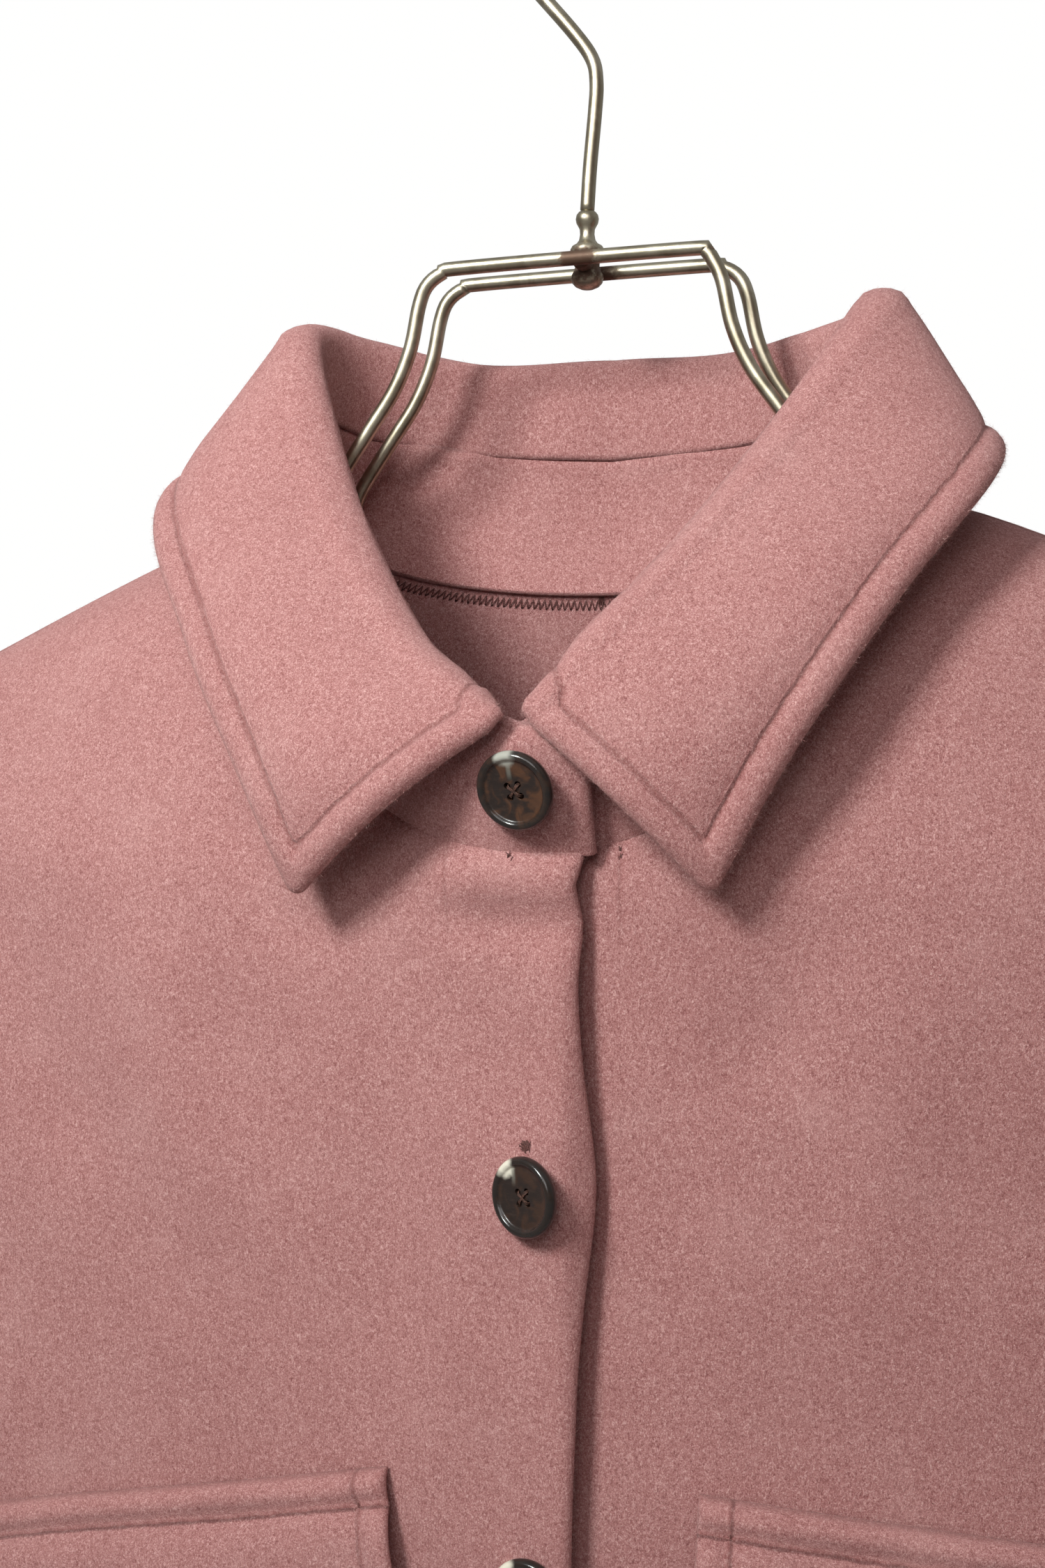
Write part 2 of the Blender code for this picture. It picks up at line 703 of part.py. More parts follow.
def sleeve_ring(side, row):
    """An oval ring of the sleeve from one row of its table."""
    in_x, in_z, out_x, out_z, depth, _ = row
    inner = np.array((side * in_x, SEAM_Y, in_z))
    outer = np.array((side * out_x, SEAM_Y, out_z))
    middle = (inner + outer) * 0.5
    reach = (outer - inner) * 0.5
    points = []
    count = 2 * ARM_STEPS
    for k in range(count):
        turn = 2.0 * math.pi * k / count
        flat = abs(math.cos(turn)) ** 0.9 * math.copysign(1.0, math.cos(turn))
        points.append(middle + reach * flat
                      - np.array((0.0, depth * math.sin(turn), 0.0)))
    return np.array(points)


def build_sleeve(side, name):
    """A sleeve from the armhole to the cuff seam."""
    seam, ways = sleeve_seam(side)
    grid = [seam + ways * 0.0006, seam + ways * 0.0030]
    for row in SLEEVE_ROWS[1:]:
        free = row[5]
        ring = sleeve_ring(side, row)
        if free < 1.0:
            drop = (ring.mean(axis=0) - seam.mean(axis=0)) * free
            ring = (seam + ways * 0.010 + drop) * (1.0 - free) + ring * free
        grid.append(ring)
    wall(name, grid, CLOTH, lambda p: inward_of_sleeve(p, side), PINK_WOOL, ring=True)


def inward_of_sleeve(point, side):
    """From a point half way down the sleeve to the middle of the sleeve."""
    middle = np.array((side * 0.300, SEAM_Y, point[2]))
    return unit(middle - point)


def build_cuff(side, name):
    """The cuff, a doubled band that hangs from the sleeve's end."""
    last = list(SLEEVE_ROWS[-1])
    grid = []
    for down, swell in ((0.0005, 0.0), (0.006, 0.0016), (0.030, 0.0016),
                        (CUFF_HEIGHT, 0.0010)):
        row = list(last)
        row[0] -= swell + 0.02 * down
        row[2] += swell - 0.02 * down
        row[1] -= down
        row[3] -= down
        row[4] += swell
        grid.append(sleeve_ring(side, row))
    wall(name, grid, 0.0030, lambda p: inward_of_sleeve(p, side), PINK_WOOL, ring=True)


# ------------------------------------------------------------------ pockets and flaps
def flap_top(side, own):
    """Height of the flap's top line, lower towards the side."""
    return -0.2592 - flap_slope(side) * (own - 0.0410)


def flap_slope(side):
    """Fall of the flap's top line towards the side."""
    return 0.200 if side < 0 else 0.105


def side_lean(side):
    """How far the side edges of a flap and its pocket run towards the middle."""
    return 0.200 if side < 0 else 0.030


def build_flap(side, name):
    """A pocket flap that hangs free below its top line."""
    grid = []
    for part in (0.0, 0.06, 0.25, 0.5, 0.75, 1.0):
        line = []
        for k in range(11):
            across = k / 10
            start = 0.0385 if side < 0 else 0.0415
            own = start + FLAP_WIDTH * across
            z = flap_top(side, own) - FLAP_DROP * part
            own -= side_lean(side) * FLAP_DROP * part
            lift = 0.0033 + 0.0047 * ease(part / 0.3) + 0.0030 * part
            line.append(front_point(side, own, z, lift))
        grid.append(line)
    wall(name, grid, 0.0026, lambda p: np.array((0.0, 1.0, 0.0)), PINK_WOOL)


def build_pocket(side, name):
    """The patch pocket below a flap."""
    grid = []
    for part in (0.0, 0.25, 0.5, 0.75, 1.0):
        line = []
        for k in range(11):
            across = k / 10
            own = 0.0430 + (FLAP_WIDTH - 0.010) * across
            z = flap_top(side, own) - 0.014 - POCKET_HEIGHT * part
            own -= side_lean(side) * (0.014 + POCKET_HEIGHT * part)
            line.append(front_point(side, own, z, 0.0026))
        grid.append(line)
    wall(name, grid, 0.0019, lambda p: np.array((0.0, 1.0, 0.0)), PINK_WOOL)


# ------------------------------------------------------------------ buttons
def button_profile():
    """Radius and height of a button with a raised rim and a dished middle."""
    r = BUTTON_RADIUS
    h = BUTTON_HEIGHT
    return ((0.72 * r, 0.0), (0.94 * r, 0.0007), (r, 0.0017), (0.97 * r, 0.88 * h),
            (0.86 * r, h), (0.72 * r, 0.95 * h), (0.62 * r, 0.70 * h), (0.0001, 0.66 * h))


def seat(spot, axis):
    """How far a button moves along its axis until its underside clears the front."""
    side = unit(np.cross(axis, np.array((0.0, 0.0, 1.0))))
    other = np.cross(axis, side)
    needed = 0.0
    for radius, height in button_profile()[:2]:
        for k in range(24):
            turn = 2.0 * math.pi * k / 24
            rim = spot + (side * math.cos(turn) + other * math.sin(turn)) * radius
            behind = (rim[1] - front_y(-1, rim[0], rim[2])) / -axis[1]
            needed = max(needed, behind - height)
    return needed


def build_buttons():
    """The front's buttons and one on each cuff."""
    for k in range(BUTTON_COUNT):
        z = BUTTON_FIRST_Z - BUTTON_STEP * k
        if k == 0:
            low, high = stand_line(-1, 0.0, 0.0)
            part = (z - low[2]) / (high[2] - low[2])
            spot = low + (high - low) * part
            spot = spot + away(-1, 0.0) * 0.0025 * math.sin(math.pi * part)
            slope = (high - low)[1] / (high - low)[2]
            axis = unit(np.array((-0.22, -1.0, slope)))
            spot = spot + axis * 0.0006 + np.array((0.0008, 0.0, 0.0008))
        else:
            spot = front_point(-1, 0.0, z)
            tilt = column(BUTTON_ROWS, "turn", k + 1)
            axis = unit(front_point(-1, 0.0, z, 0.001) - spot)
            axis = unit(axis + np.array((-tilt, 0.0, 0.0)))
            spot = spot + np.array((0.014 * tilt, 0.0, 0.0006))
            spot = spot + axis * (BUTTON_GAP + seat(spot, axis))
        lathe("button_" + str(k + 1), spot, axis, button_profile(), DARK_HORN)
    for side, name in ((-1, "cuff_button_right"), (1, "cuff_button_left")):
        last = list(SLEEVE_ROWS[-1])
        last[1] -= CUFF_HEIGHT * 0.5
        last[3] -= CUFF_HEIGHT * 0.5
        last[4] += 0.0016
        last[0] -= 0.0016
        last[2] += 0.0016
        ring = sleeve_ring(side, last)
        spot = ring[16]
        axis = np.cross(ring[17] - ring[15], np.array((0.0, 0.0, 1.0)))
        middle = ring.mean(axis=0)
        axis = unit(axis if np.dot(axis, spot - middle) > 0.0 else -axis)
        lathe(name, spot + axis * BUTTON_GAP, axis, button_profile(), DARK_HORN)


# ------------------------------------------------------------------ hanger
def under_shoulder(x, y):
    """Height of a wire's middle just below the cloth of the shoulder."""
    across = min(1.0, abs(x) / UNDERARM_X)
    panel = "front" if y < SEAM_Y else "back"
    depth = column(BODY_ROWS, panel, shoulder_z(x)) * (1.0 - across ** 1.6) ** 0.6
    share = min(0.95, abs(y - SEAM_Y) / depth)
    drop = SHOULDER_ROUND * (1.0 - math.sqrt(1.0 - share ** 2))
    return shoulder_z(x) - drop - CLOTH - WIRE_RADIUS - 0.0026


def build_hanger():
    """Two wires bent over the shoulders, a ferrule between them and the hook."""
    for way, name in ((-1, "hanger_wire_front"), (1, "hanger_wire_back")):
        half = []
        for x, z in HANGER_ROWS[1:]:
            half.append((x, HANGER_Y + way * WIRE_SPREAD, z))
        for k in range(1, 12):
            x = 0.088 + 0.100 * k / 11
            spread = WIRE_SPREAD - 0.005 * ease((x - 0.095) / 0.080)
            y = HANGER_Y + way * spread
            slack = 0.003 * (1.0 - k / 11) ** 3 + 0.004 * ease((x - 0.120) / 0.060)
            half.append((x, y, under_shoulder(x, y) - slack))
        lean = [HANGER_LEAN * x for x, _ in HANGER_ROWS[1:]]
        lean += [0.0] * (len(half) - len(lean))
        other = [(-x, y, z - up) for (x, y, z), up in zip(reversed(half), reversed(lean))]
        half = [(x, y, z + up) for (x, y, z), up in zip(half, lean)]
        for hand, line in ((1, half), (-1, other)):
            for i, (x, y, z) in enumerate(line):
                leg = ease((abs(x) - 0.034) / 0.008) * ease((0.090 - abs(x)) / 0.014)
                shift = HANGER_SHIFT * ease((0.090 - abs(x)) / 0.03)
                bend = FRONT_LEG_BEND * leg if (way, hand) == (-1, 1) else 0.0
                line[i] = (x + shift + bend, y, z)
        tube(name, other + half, WIRE_RADIUS, AGED_BRASS)
    bar_z = HANGER_ROWS[1][1]
    ferrule = ((0.0010, -0.0060), (0.0030, -0.0052), (0.0036, -0.0035), (0.0034, 0.0030),
               (0.0044, 0.0036), (0.0044, 0.0052), (0.0024, 0.0066), (0.0022, 0.0105),
               (0.0031, 0.0120), (0.0031, 0.0140), (0.0010, 0.0152))
    spot = np.array((0.0, HANGER_Y, bar_z))
    lathe("hanger_ferrule", spot, (0.0, 0.0, 1.0), ferrule, AGED_BRASS, sides=12)
    for way, name in ((-1, "hanger_bridge_front"), (1, "hanger_bridge_back")):
        near = HANGER_Y + way * (0.0036 + 0.0003)
        far = HANGER_Y + way * (WIRE_SPREAD - WIRE_RADIUS - 0.0003)
        path = [(0.0, near, bar_z), (0.0, (near + far) / 2, bar_z), (0.0, far, bar_z)]
        tube(name, path, BRIDGE_RADIUS, AGED_BRASS)
    hook = [(0.0, HANGER_Y, bar_z + 0.0155), (0.0008, HANGER_Y, 0.085),
            (0.0022, HANGER_Y, 0.100), (0.0026, HANGER_Y, 0.108),
            (0.0014, HANGER_Y, 0.1145), (-0.0040, HANGER_Y, 0.1225)]
    radius = 0.0220
    middle = HOOK_TOP - radius + WIRE_RADIUS
    for k in range(17):
        turn = math.radians(222.0 - 240.0 * k / 16)
        hook.append((radius * math.cos(turn), HANGER_Y, middle + radius * math.sin(turn)))
    tube("hanger_hook", hook, WIRE_RADIUS, AGED_BRASS)


# ------------------------------------------------------------------ the whole jacket
def main():
    """Clears the scene and builds every piece."""
    for obj in list(bpy.data.objects):
        bpy.data.objects.remove(obj, do_unlink=True)
    build_front(-1, "front_right")
    build_front(1, "front_left")
    build_back()
    build_stand()
    build_collar()
    for side, word in ((-1, "right"), (1, "left")):
        build_sleeve(side, "sleeve_" + word)
        build_cuff(side, "cuff_" + word)
        build_pocket(side, "pocket_" + word)
        build_flap(side, "flap_" + word)
    build_buttons()
    build_hanger()


main()
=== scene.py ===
"""The looks of a brushed wool shirt jacket hanging on a double wire hanger.

Lengths are metres. Shapes are worked out with height 0 at the side of the neck, the front
towards -Y; placed() then puts the origin at the inside top of the hanger's hook, as the
frame has it.
"""

import logging
import math
from dataclasses import dataclass, field
from enum import Enum
from typing import Any, Iterable, Sequence

import bmesh
import bpy
import numpy as np
from mathutils import Matrix, Vector


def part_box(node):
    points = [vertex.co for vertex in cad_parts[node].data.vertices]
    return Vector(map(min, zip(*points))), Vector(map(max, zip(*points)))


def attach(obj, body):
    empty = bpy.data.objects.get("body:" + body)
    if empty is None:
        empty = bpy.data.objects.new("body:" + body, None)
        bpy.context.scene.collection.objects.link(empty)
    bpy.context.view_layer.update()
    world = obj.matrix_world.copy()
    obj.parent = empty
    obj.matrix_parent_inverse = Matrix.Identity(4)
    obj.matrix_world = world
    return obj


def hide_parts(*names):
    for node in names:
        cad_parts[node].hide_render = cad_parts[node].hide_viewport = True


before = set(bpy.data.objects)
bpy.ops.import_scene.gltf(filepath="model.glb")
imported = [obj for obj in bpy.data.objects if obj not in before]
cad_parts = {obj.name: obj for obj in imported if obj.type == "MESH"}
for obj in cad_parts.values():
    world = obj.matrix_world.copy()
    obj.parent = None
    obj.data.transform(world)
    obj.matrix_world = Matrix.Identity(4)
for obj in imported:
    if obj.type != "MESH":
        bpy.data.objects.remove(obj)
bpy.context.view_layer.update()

Array = np.ndarray
Colour = tuple[float, float, float, float]
LOG = logging.getLogger("jacket")

HOOK_TOP = 0.172
HANGER_Y = 0.019
SEAM_Y = 0.022
SEAM_GAP = 0.0001
CLOTH = 0.0020
FRONT_OVER = 0.0040
FRONT_UNDER = 0.0015
EDGE_ROLL = 0.0070
EDGE_REST = 0.0058
HEM_Z = -0.690
BUTTON_FIRST_Z = -0.0865
BUTTON_STEP = 0.100
BUTTON_RADIUS = 0.0101
NO_LINE = 0.02
SHOULDER_INSET = 0.0060
HEM_INSET = 0.020
WIRES = ("hanger_wire_front", "hanger_wire_back")
EDGE_STEPS = (0.0, 0.0002, 0.0006, 0.0012, 0.0020, 0.0031, 0.0045, 0.0062, 0.0080,
              0.0098, 0.0118)


class Side(Enum):
    """The wearer's side a piece is on; its value is the sign of its x."""

    RIGHT = -1
    LEFT = 1


class Border(Enum):
    """One border of a grid of points."""

    TOP = "top"
    BOTTOM = "bottom"
    LEFT = "left"
    RIGHT = "right"


@dataclass(frozen=True)
class Table:
    """Rows with named columns, read between the rows along a smooth curve."""

    names: tuple[str, ...]
    rows: tuple[tuple[float, ...], ...]

    def read(self, name: str, at: Array | float) -> Array:
        """Reads a column.

        Args:
            name: the column.
            at: places along the first column.

        Returns:
            The column's values there, clamped to the ends.
        """
        keys = np.array([row[0] for row in self.rows])
        values = np.array([row[self.names.index(name)] for row in self.rows])
        at = np.clip(at, keys[0], keys[-1])
        i = np.clip(np.searchsorted(keys, at, side="right") - 1, 0, len(keys) - 2)
        low = np.maximum(np.arange(len(keys)) - 1, 0)
        high = np.minimum(np.arange(len(keys)) + 1, len(keys) - 1)
        slopes = (values[high] - values[low]) / (keys[high] - keys[low])
        span = keys[i + 1] - keys[i]
        t = (at - keys[i]) / span
        bend = slopes[i] * t * (1.0 - t) ** 2 - slopes[i + 1] * t * t * (1.0 - t)
        return values[i] + (values[i + 1] - values[i]) * ease(t) + bend * span


def ease(t: Array | float) -> Array:
    """A soft step from 0 to 1.

    Args:
        t: where on the step.

    Returns:
        The step's height.
    """
    t = np.clip(t, 0.0, 1.0)
    return t * t * (3.0 - 2.0 * t)


def unit(vectors: Array) -> Array:
    """Vectors made one long.

    Args:
        vectors: an array whose last axis is xyz.

    Returns:
        The same directions at length 1.
    """
    vectors = np.asarray(vectors, dtype=float)
    return vectors / np.maximum(1e-12, np.linalg.norm(vectors, axis=-1, keepdims=True))


def placed(points: Array) -> Array:
    """Points moved to the frame's own place.

    Args:
        points: jacket points.

    Returns:
        The points with the origin in the hook.
    """
    return np.asarray(points) - np.array((0.0, HANGER_Y, HOOK_TOP))


def spread(length: float, step: float, low: bool = True, high: bool = True) -> Array:
    """Shares of a length, close together near its free ends.

    Args:
        length: the length.
        step: the spacing away from the ends.
        low: the start is a free end.
        high: the end is a free end.

    Returns:
        Shares from 0 to 1.
    """
    edge = np.array(EDGE_STEPS)
    start = edge[-1] if low else 0.0
    end = length - (edge[-1] if high else 0.0)
    parts = [np.linspace(start, end, max(3, round((end - start) / step) + 1))]
    if low:
        parts.insert(0, edge[:-1])
    if high:
        parts.append(length - edge[-2::-1])
    return np.concatenate(parts) / length


def smooth_rows(stops: Array, fractions: Array, sub: int = 12) -> Array:
    """Points on a smooth curve down each column of stops.

    Args:
        stops: rows, columns, xyz.
        fractions: shares of each curve's length.
        sub: points between two stops.

    Returns:
        One row of points for each share.
    """
    ends = (2.0 * stops[:1] - stops[1:2], stops, 2.0 * stops[-1:] - stops[-2:-1])
    p = np.concatenate(ends)
    t = (np.arange(sub) / sub)[:, None, None]
    runs = []
    for k in range(len(stops) - 1):
        a, b, c, d = p[k:k + 4]
        runs.append(b + 0.5 * t * (c - a + t * (2 * a - 5 * b + 4 * c - d
                                                + t * (3 * b - a - 3 * c + d))))
    fine = np.concatenate(runs + [stops[-1:]])
    gaps = np.linalg.norm(np.diff(fine, axis=0), axis=2)
    walked = np.concatenate((np.zeros((1, fine.shape[1])), np.cumsum(gaps, axis=0)))
    out = np.empty((len(fractions), fine.shape[1], 3))
    for c in range(fine.shape[1]):
        for axis in range(3):
            out[:, c, axis] = np.interp(fractions * walked[-1, c], walked[:, c],
                                        fine[:, c, axis])
    return out


def to_line(points: Array, line: Array) -> Array:
    """How far points are from a line.

    Args:
        points: an array whose last axis is xyz.
        line: the line's own points.

    Returns:
        The distance of each point.
    """
    best = np.full(points.shape[:-1], 9.0)
    for a, b in zip(line, line[1:]):
        run = b - a
        t = np.clip(((points - a) @ run) / max(1e-12, float(run @ run)), 0.0, 1.0)
        best = np.minimum(best, np.linalg.norm(points - a - t[..., None] * run, axis=-1))
    return best


def waver(points: Array, seed: int, length: float, height: float) -> Array:
    """Slow unevenness.

    Args:
        points: where.
        seed: which pattern.
        length: distance from crest to crest.
        height: how high it is.

    Returns:
        A height at each point.
    """
    rng = np.random.default_rng(seed)
    total = np.zeros(points.shape[:-1])
    for _ in range(7):
        way = unit(rng.normal(size=3)) * 2.0 * math.pi / (length * rng.uniform(0.7, 1.6))
        total += np.sin(points @ way + rng.uniform(0.0, 6.3))
    return total * height / 3.0


def creases(rows: Iterable[Sequence[float]], u: Array, v: Array) -> Array:
    """Soft troughs and ridges placed on a flat layout.

    Args:
        rows: start u, start v, end u, end v, height, half width, bow.
        u: first coordinate of each point.
        v: second coordinate.

    Returns:
        The height at each point.
    """
    total = np.zeros(np.broadcast(u, v).shape)
    for u0, v0, u1, v1, height, width, bow in rows:
        length = math.hypot(u1 - u0, v1 - v0)
        along = ((u - u0) * (u1 - u0) + (v - v0) * (v1 - v0)) / length ** 2
        across = ((u - u0) * (v1 - v0) - (v - v0) * (u1 - u0)) / length
        off = across - bow * np.sin(math.pi * np.clip(along, 0.0, 1.0))
        fade = ease((along + 0.12) / 0.40) * ease((1.12 - along) / 0.40)
        total += height * fade * np.exp(-(off / width) ** 2)
    return total


BODY = Table(
    ("z", "front", "back", "reach", "flare"),
    (
        (-0.690, 0.056, 0.046, 0.0165, 0.002),
        (-0.450, 0.057, 0.050, 0.0160, 0.003),
        (-0.290, 0.059, 0.051, 0.0124, 0.006),
        (-0.236, 0.060, 0.050, 0.0142, 0.007),
        (-0.216, 0.060, 0.049, 0.0158, 0.008),
        (-0.184, 0.061, 0.047, 0.0183, 0.009),
        (-0.152, 0.062, 0.045, 0.0158, 0.007),
        (-0.136, 0.063, 0.044, 0.0150, 0.006),
        (-0.120, 0.064, 0.043, 0.0156, 0.004),
        (-0.110, 0.065, 0.042, 0.0146, 0.003),
        (-0.101, 0.065, 0.041, 0.0166, 0.003),
        (-0.031, 0.062, 0.0345, 0.0175, 0.002),
        (0.050, 0.058, 0.032, 0.0175, 0.002),
    ),
)
FRONT_FOLDS = (
    # x at the hem, x at the top, height of the top, height, half width
    (-0.205, -0.150, -0.200, 0.011, 0.026),
    (-0.118, -0.108, -0.300, -0.009, 0.030),
    (-0.052, -0.060, -0.340, 0.007, 0.024),
    (0.070, 0.064, -0.320, 0.008, 0.026),
    (0.132, 0.112, -0.290, -0.010, 0.028),
    (0.208, 0.158, -0.220, 0.012, 0.024),
)
BACK_FOLDS = (
    (-0.190, -0.140, -0.160, 0.013, 0.028),
    (-0.112, -0.090, -0.220, -0.010, 0.030),
    (-0.020, -0.012, -0.180, 0.012, 0.034),
    (0.078, 0.062, -0.260, -0.010, 0.028),
    (0.168, 0.128, -0.170, 0.013, 0.030),
)
# x, z at the start, x, z at the end, height out of the cloth, half width, bow
FRONT_CREASES = (
    (-0.026, -0.1080, 0.018, -0.1100, 0.0017, 0.0042, 0.000),
    (-0.024, -0.1185, 0.018, -0.1190, -0.0022, 0.0048, 0.001),
    (-0.0180, -0.100, -0.0165, -0.250, 0.0006, 0.0050, 0.000),
    (-0.090, -0.080, -0.052, -0.128, -0.0018, 0.0100, 0.004),
    (-0.118, -0.118, -0.092, -0.210, 0.0018, 0.0130, -0.005),
    (-0.030, -0.150, -0.040, -0.250, -0.0012, 0.0110, 0.004),
    (-0.160, -0.110, -0.120, -0.190, -0.0022, 0.0140, 0.006),
    (-0.175, -0.190, -0.150, -0.300, 0.0028, 0.0160, 0.006),
    (-0.200, -0.300, -0.120, -0.390, -0.0025, 0.0180, 0.010),
    (-0.030, -0.300, -0.085, -0.420, 0.0018, 0.0140, 0.006),
    (-0.060, -0.450, -0.150, -0.560, 0.0022, 0.0200, 0.010),
    (-0.190, -0.430, -0.215, -0.600, 0.0028, 0.0180, -0.006),
    (0.072, -0.110, 0.046, -0.165, -0.0016, 0.0100, -0.004),
    (0.100, -0.120, 0.084, -0.230, 0.0015, 0.0130, 0.005),
    (0.030, -0.160, 0.034, -0.260, -0.0009, 0.0090, 0.002),
    (0.165, -0.120, 0.128, -0.200, -0.0022, 0.0140, -0.006),
    (0.180, -0.200, 0.150, -0.310, 0.0028, 0.0160, -0.006),
    (0.205, -0.320, 0.110, -0.400, -0.0024, 0.0180, -0.010),
    (0.040, -0.320, 0.090, -0.430, 0.0018, 0.0140, -0.006),
    (0.080, -0.470, 0.170, -0.570, 0.0022, 0.0200, -0.010),
    (0.195, -0.440, 0.218, -0.610, 0.0026, 0.0180, 0.006),
)
BACK_CREASES = (
    (-0.150, -0.090, -0.060, -0.130, -0.0020, 0.0130, 0.006),
    (0.150, -0.092, 0.050, -0.140, -0.0020, 0.0130, -0.006),
    (-0.210, -0.330, -0.080, -0.410, 0.0030, 0.0170, 0.010),
    (0.212, -0.340, 0.070, -0.400, 0.0028, 0.0170, -0.008),
    (-0.030, -0.260, 0.020, -0.420, 0.0022, 0.0180, 0.008),
    (0.120, -0.460, 0.030, -0.560, -0.0024, 0.0200, 0.010),
    (-0.140, -0.480, -0.050, -0.600, -0.0026, 0.0200, -0.008),
    (0.200, -0.440, 0.222, -0.610, 0.0030, 0.0180, 0.006),
)


@dataclass(frozen=True)
class BodyForm:
    """The jacket's form: seams, fronts and back, without their cloth."""

    neck_half: float = 0.082
    neck_side_z: float = -0.008
    front_drop: float = 0.101
    back_drop: float = 0.030
    slope: float = 0.47
    shoulder_x: float = 0.215
    underarm: tuple[float, float] = (0.248, -0.300)
    hem_x: float = 0.262

    def shoulder_z(self, x: Array | float) -> Array:
        """Height of the shoulder seam.

        Args:
            x: distance from the middle, either sign.

        Returns:
            The height.
        """
        out = np.abs(x) - self.neck_half
        lift = 0.0085 * (1.0 - np.exp(-np.maximum(out, 0.0) / 0.020))
        return self.neck_side_z + np.where(out < 0.0, -0.3 * out, lift - self.slope * out)

    def half_width(self, z: Array | float) -> Array:
        """Distance of the side seam from the middle.

        Args:
            z: height.

        Returns:
            The distance.
        """
        down = np.clip((self.underarm[1] - z) / (self.underarm[1] - HEM_Z), 0.0, 1.0)
        return self.underarm[0] + (self.hem_x - self.underarm[0]) * down

    def bulge(self, x: Array, z: Array) -> Array:
        """How far the body stands out, 0 at the seams and 1 at the chest.

        Args:
            x: across.
            z: height.

        Returns:
            The share of the full depth.
        """
        across = np.minimum(1.0, np.abs(x) / self.half_width(z))
        level = np.clip((self.shoulder_z(x) - z) / 0.130, 0.0, 1.0)
        return (1.0 - across ** 1.6) ** 0.6 * np.sqrt(1.0 - (1.0 - level) ** 2)

    def folds(self, rows: Iterable[Sequence[float]], x: Array, z: Array) -> Array:
        """Height of the long soft folds.

        Args:
            rows: the folds.
            x: across.
            z: height.

        Returns:
            How far they stand out.
        """
        total = np.zeros(np.broadcast(x, z).shape)
        for x_hem, x_top, z_top, height, width in rows:
            down = np.clip((z_top - z) / (z_top - HEM_Z), 0.0, None)
            middle = x_top + (x_hem - x_top) * down
            total += height * ease(down) * np.exp(-((x - middle) / width) ** 2)
        return total * ease((self.half_width(z) - np.abs(x)) / 0.035)

    def front_y(self, side: Side, x: Array, z: Array) -> Array:
        """Depth of a front's outer face.

        Args:
            side: which front; the right one laps over.
            x: across.
            z: height.

        Returns:
            The depth.
        """
        x, z = np.broadcast_arrays(np.asarray(x, dtype=float), np.asarray(z, dtype=float))
        own = side.value * x
        y = SEAM_Y - SEAM_GAP - BODY.read("front", z) * self.bulge(x, z)
        y = y - self.folds(FRONT_FOLDS, x, z) * ease((own + 0.005) / 0.05)
        seam = ease((self.half_width(z) - np.abs(x)) / 0.035)
        seam = seam * ease((self.shoulder_z(x) - z) / 0.03)
        keep = seam if side is Side.RIGHT else seam * ease((own - 0.020) / 0.02)
        y = y - creases(FRONT_CREASES, x, z) * keep
        near = 1.0 - ease((own - 0.012) / 0.035)
        if side is Side.LEFT:
            return y + FRONT_UNDER * near
        lift = np.maximum(0.0, (0.016 - own) / 0.033)
        out = FRONT_OVER * near + BODY.read("flare", z) * lift ** 1.5
        rest = ease((-EDGE_ROLL - own) / 0.0105)
        return y - out - (EDGE_REST - FRONT_UNDER - out) * rest

    def back_y(self, x: Array, z: Array) -> Array:
        """Depth of the back's outer face.

        Args:
            x: across.
            z: height.

        Returns:
            The depth.
        """
        seam = ease((self.half_width(z) - np.abs(x)) / 0.035)
        seam = seam * ease((self.shoulder_z(x) - z) / 0.05)
        out = BODY.read("back", z) * self.bulge(x, z) + self.folds(BACK_FOLDS, x, z)
        return SEAM_Y + SEAM_GAP + out + creases(BACK_CREASES, x, z) * seam

    def front(self, side: Side, own: Array, z: Array, out: Array | float = 0.0) -> Array:
        """Points on or off a front.

        Args:
            side: which front.
            own: distance from the middle towards that side.
            z: height.
            out: how far out of the cloth.

        Returns:
            The points.
        """
        own, z = np.broadcast_arrays(np.asarray(own, dtype=float), np.asarray(z, dtype=float))
        x = side.value * own
        points = np.stack((x, self.front_y(side, x, z), z), axis=-1)
        step = 0.002
        right = self.front_y(side, x + step, z) - self.front_y(side, x - step, z)
        up = self.front_y(side, x, z + step) - self.front_y(side, x, z - step)
        normal = np.stack((right / (2 * step), -np.ones_like(x), up / (2 * step)), axis=-1)
        return points + unit(normal) * np.asarray(out)[..., None]

    def back(self, x: Array, z: Array) -> Array:
        """Points on the back's outer face.

        Args:
            x: across.
            z: height.

        Returns:
            The points.
        """
        return np.stack((x, self.back_y(x, z), z), axis=-1)

    def neck_front(self, turn: Array) -> tuple[Array, Array]:
        """The front neckline.

        Args:
            turn: 0 at the middle, 1 at the side of the neck.

        Returns:
            Distance from the middle, and height.
        """
        angle = 0.5 * math.pi * turn
        drop = self.front_drop + self.neck_side_z
        return self.neck_half * np.sin(angle), self.neck_side_z - drop * np.cos(angle)

    def neck_back(self, turn: Array) -> tuple[Array, Array]:
        """The back neckline.

        Args:
            turn: 0 at the side of the neck, 1 at the middle.

        Returns:
            Distance from the middle, and height.
        """
        angle = 0.5 * math.pi * turn
        drop = self.back_drop + self.neck_side_z
        across = np.maximum(0.0, np.cos(angle)) ** 0.9
        return self.neck_half * across, self.neck_side_z - drop * np.sin(angle)

